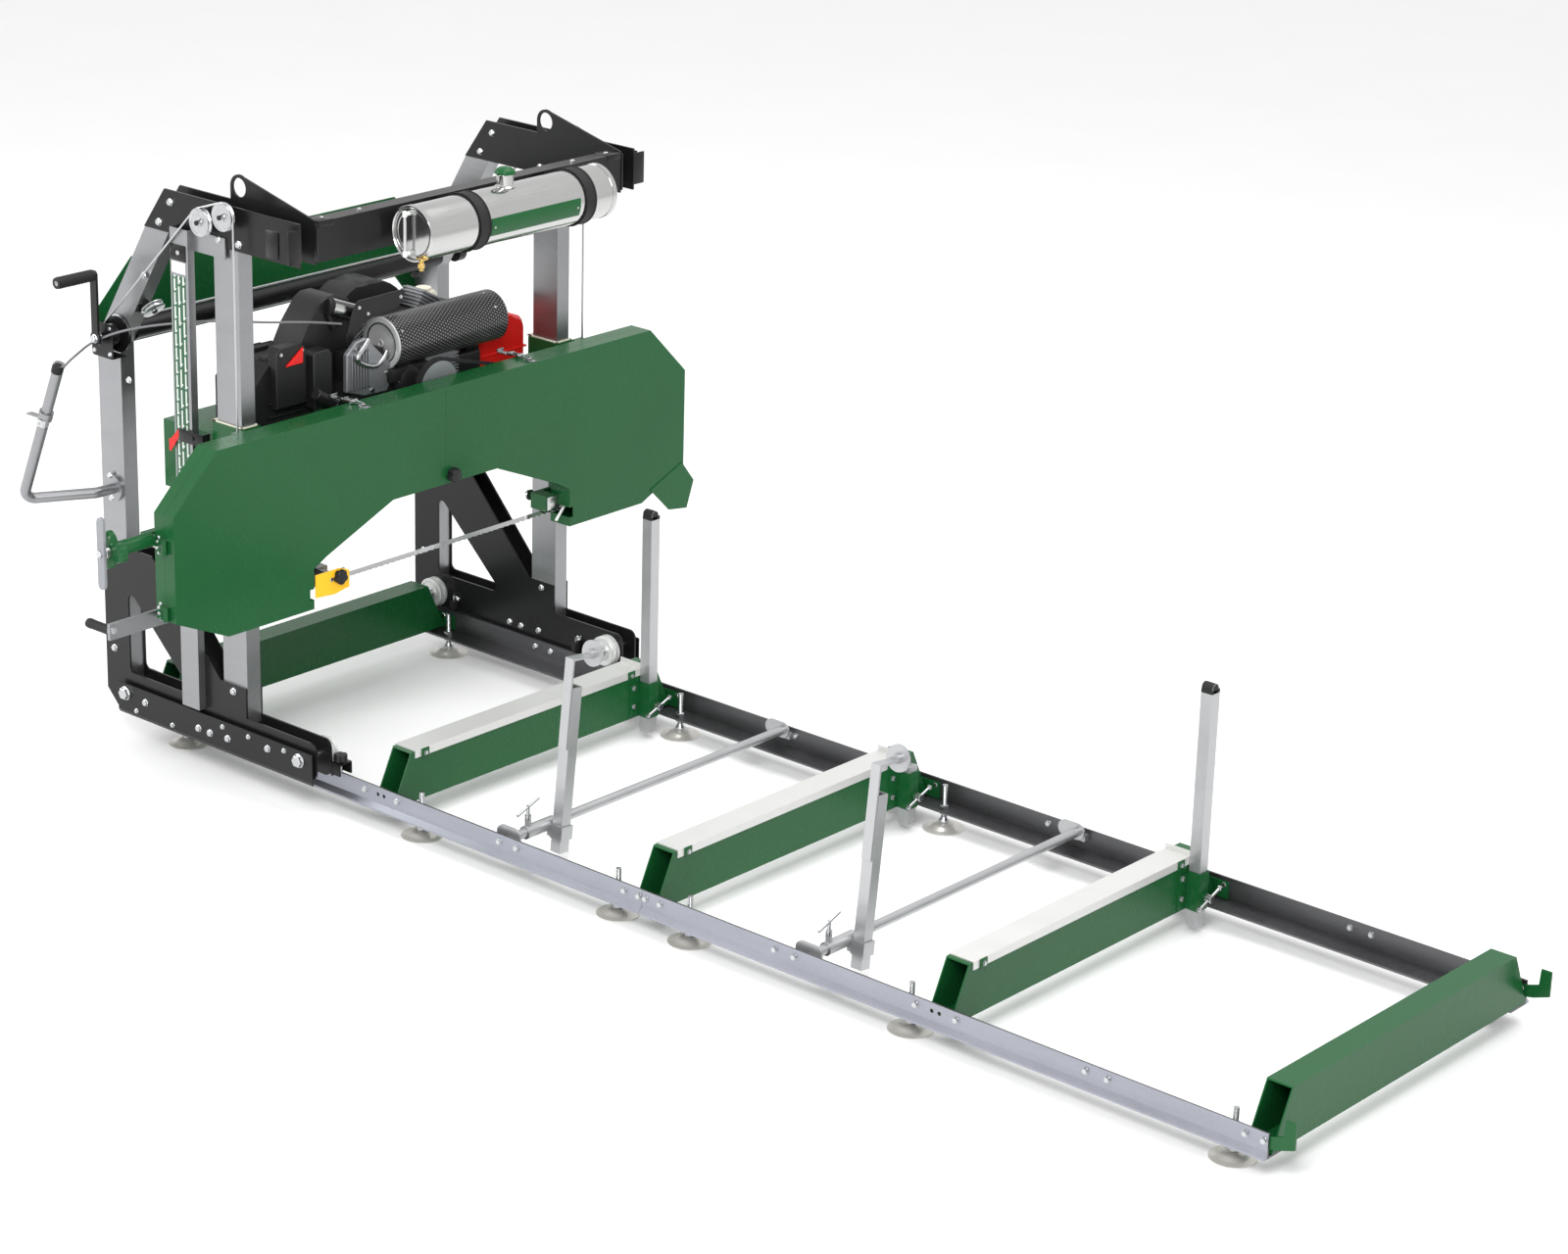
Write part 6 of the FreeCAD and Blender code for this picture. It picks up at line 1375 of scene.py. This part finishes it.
    def _fittings(self) -> None:
        """The fuel bowl, the silver canister and the red wedge beside the cowl."""
        foot, tip = map(Vector, self.canister)
        way, long = tip - foot, (tip - foot).length
        Form("engine_canister").turned(foot, way, (
            (0, 6), (23, 6), (26.5, 8), (26.5, long - 8), (23, long - 6), (0, long - 6)), 40).done("stainless", "head")
        ends = Form("canister_ends").turned(foot, way, ((0, 0), (22, 0), (27, 2), (27, 7), (25, 8)), 40)
        ends.turned(tip - way.normalized() * 9, way, ((25, 0), (27, 1), (27, 7), (22, 9), (0, 9)), 40)
        ends.bar([(-1600, -212, 1310), (-1600, -200, 1280), (-1600, -190, 1262)], 9, 14)
        ends.bar([(-1600, -112, 1284), (-1600, -112, 1262)], 9, 14).done("plastic", "head")
        place = self.bowl_place
        Form("fuel_bowl").turned((*place, 1226), Way.UP, self.bowl, 40).done("milky", "head")
        Form("fuel_bowl_cap").disc((*place, 1271), Way.UP, 24, 9, 1.5, 32).done("cream", "head")
        Form("fuel_bowl_seat").block((-1736, 232, 1206), (-1664, 300, 1228), 3).done("plastic", "head")
        Form("cowl_wedge").sheet(self.wedge, "x", -1566, -1552, 2.5).done("red", "head")

    def _tanks(self) -> None:
        """The red fuel tank with its seam and cap, and the battery box's lid rims and lips."""
        tank = Form("red_fuel_tank").sheet(self.tank, "x", -1722, -1580, 11)
        tank.sheet([(350, 1060), (580, 1060), (580, 1065), (350, 1065)], "x", -1724, -1578, 1)
        tank.done("red", "head", "fuel_tank")
        Form("fuel_tank_cap").lobed((-1668, 500, 1168), Way.UP, 29, 18, 8, 0.1).done("plastic", "head")
        low, high = low_high("battery_box")
        lid = Form("battery_lid")
        for x in (high.x - 60, low.x + 20):
            lid.block((x, low.y + 60, high.z - 0.4), (x + 40, high.y - 60, high.z + 12), 3)
        for z in (1050, 1090):
            lid.block((high.x - 2, low.y + 40, z), (high.x + 6, high.y - 40, z + 6), 1.5)
        lid.done("plastic", "head")


@dataclass(frozen=True)
class Studio:
    """A pale floor, soft light and the camera at the photograph's angle."""

    place: tuple[float, float, float] = (6.4035, -7.5611, 4.3415)
    azimuth: float = 40.395
    elevation: float = 20.107
    roll: float = 1.642
    focal_pixels: float = 3979.4
    picture_width: float = 1600.0
    sensor: float = 36.0
    far_clip: float = 100.0
    room: float = 0.95
    lamps: tuple[tuple[str, Point, Point, float, float], ...] = (
        ("key", (3.5, -5.5, 5.5), (-1.0, 0.0, 0.7), 3.0, 420.0),
        ("side", (-6.0, -4.0, 3.0), (-1.0, 0.0, 0.8), 2.5, 160.0),
        ("top", (0.0, 1.0, 6.0), (0.0, 0.0, 0.0), 4.0, 180.0))
    floor_half: float = 30.0

    def build(self) -> None:
        """Set up the stage."""
        self._camera()
        self._lights()
        self._floor()

    @staticmethod
    def _show(name: str, data: bpy.types.ID) -> bpy.types.Object:
        """A new object in the scene."""
        made = bpy.data.objects.new(name, data)
        bpy.context.scene.collection.objects.link(made)
        return made

    def _camera(self) -> None:
        """The camera from the measured angles and focal length."""
        azimuth, elevation, roll = map(math.radians, (self.azimuth, self.elevation, self.roll))
        forward = -Vector((math.sin(azimuth) * math.cos(elevation),
                           -math.cos(azimuth) * math.cos(elevation), math.sin(elevation)))
        level = forward.cross(Vector((0, 0, 1))).normalized()
        upright = level.cross(forward)
        right = math.cos(roll) * level + math.sin(roll) * upright
        above = -math.sin(roll) * level + math.cos(roll) * upright
        data = bpy.data.cameras.new("portrait_camera")
        data.sensor_width = self.sensor
        data.lens = self.focal_pixels / self.picture_width * self.sensor
        data.clip_end = self.far_clip
        camera = self._show("portrait_camera", data)
        turn = Matrix((right, above, -forward)).transposed().to_4x4()
        camera.matrix_world = Matrix.Translation(Vector(self.place)) @ turn
        bpy.context.scene.camera = camera

    def _lights(self) -> None:
        """Soft boxes and a bright room."""
        world = bpy.data.worlds.new("studio")
        bpy.context.scene.world = world
        bpy.context.scene.view_settings.view_transform = "Standard"
        world.use_nodes = True
        room = world.node_tree.nodes["Background"].inputs
        room["Color"].default_value = (1.0, 1.0, 1.0, 1.0)
        room["Strength"].default_value = self.room
        for name, place, aim, size, power in self.lamps:
            data = bpy.data.lights.new(name, "AREA")
            data.size, data.energy = size, power
            lamp = self._show(name, data)
            lamp.location = place
            lamp.rotation_euler = (Vector(aim) - Vector(place)).to_track_quat("-Z", "Y").to_euler()

    def _floor(self) -> None:
        """A pale floor under the feet."""
        half = self.floor_half
        mesh = bpy.data.meshes.new("floor")
        mesh.from_pydata([(-half, -half, 0), (half, -half, 0), (half, half, 0), (-half, half, 0)], [], [(0, 1, 2, 3)])
        material = bpy.data.materials.new("pale_floor")
        material.use_nodes = True
        shader = Shader(material.node_tree)
        shader.feed(Base_Color=shader.blend(shader.noise(2.0), Tone.FLOOR, Tone.FLOOR_CLOUD), Roughness=0.7)
        mesh.materials.append(material)
        self._show("floor", mesh)


def main() -> None:
    """Build every sub-assembly and report it."""
    logging.basicConfig(level=logging.INFO)
    for assembly in (Studio(), Track(), PostsAndDogs(), Carriage(), LiftGear(), PushHandle(), LubeTank(),
                     SawHead(), PowerUnit()):
        assembly.build()
        LOG.info("%s is dressed", type(assembly).__name__)
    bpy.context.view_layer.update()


if __name__ == "__main__":
    main()
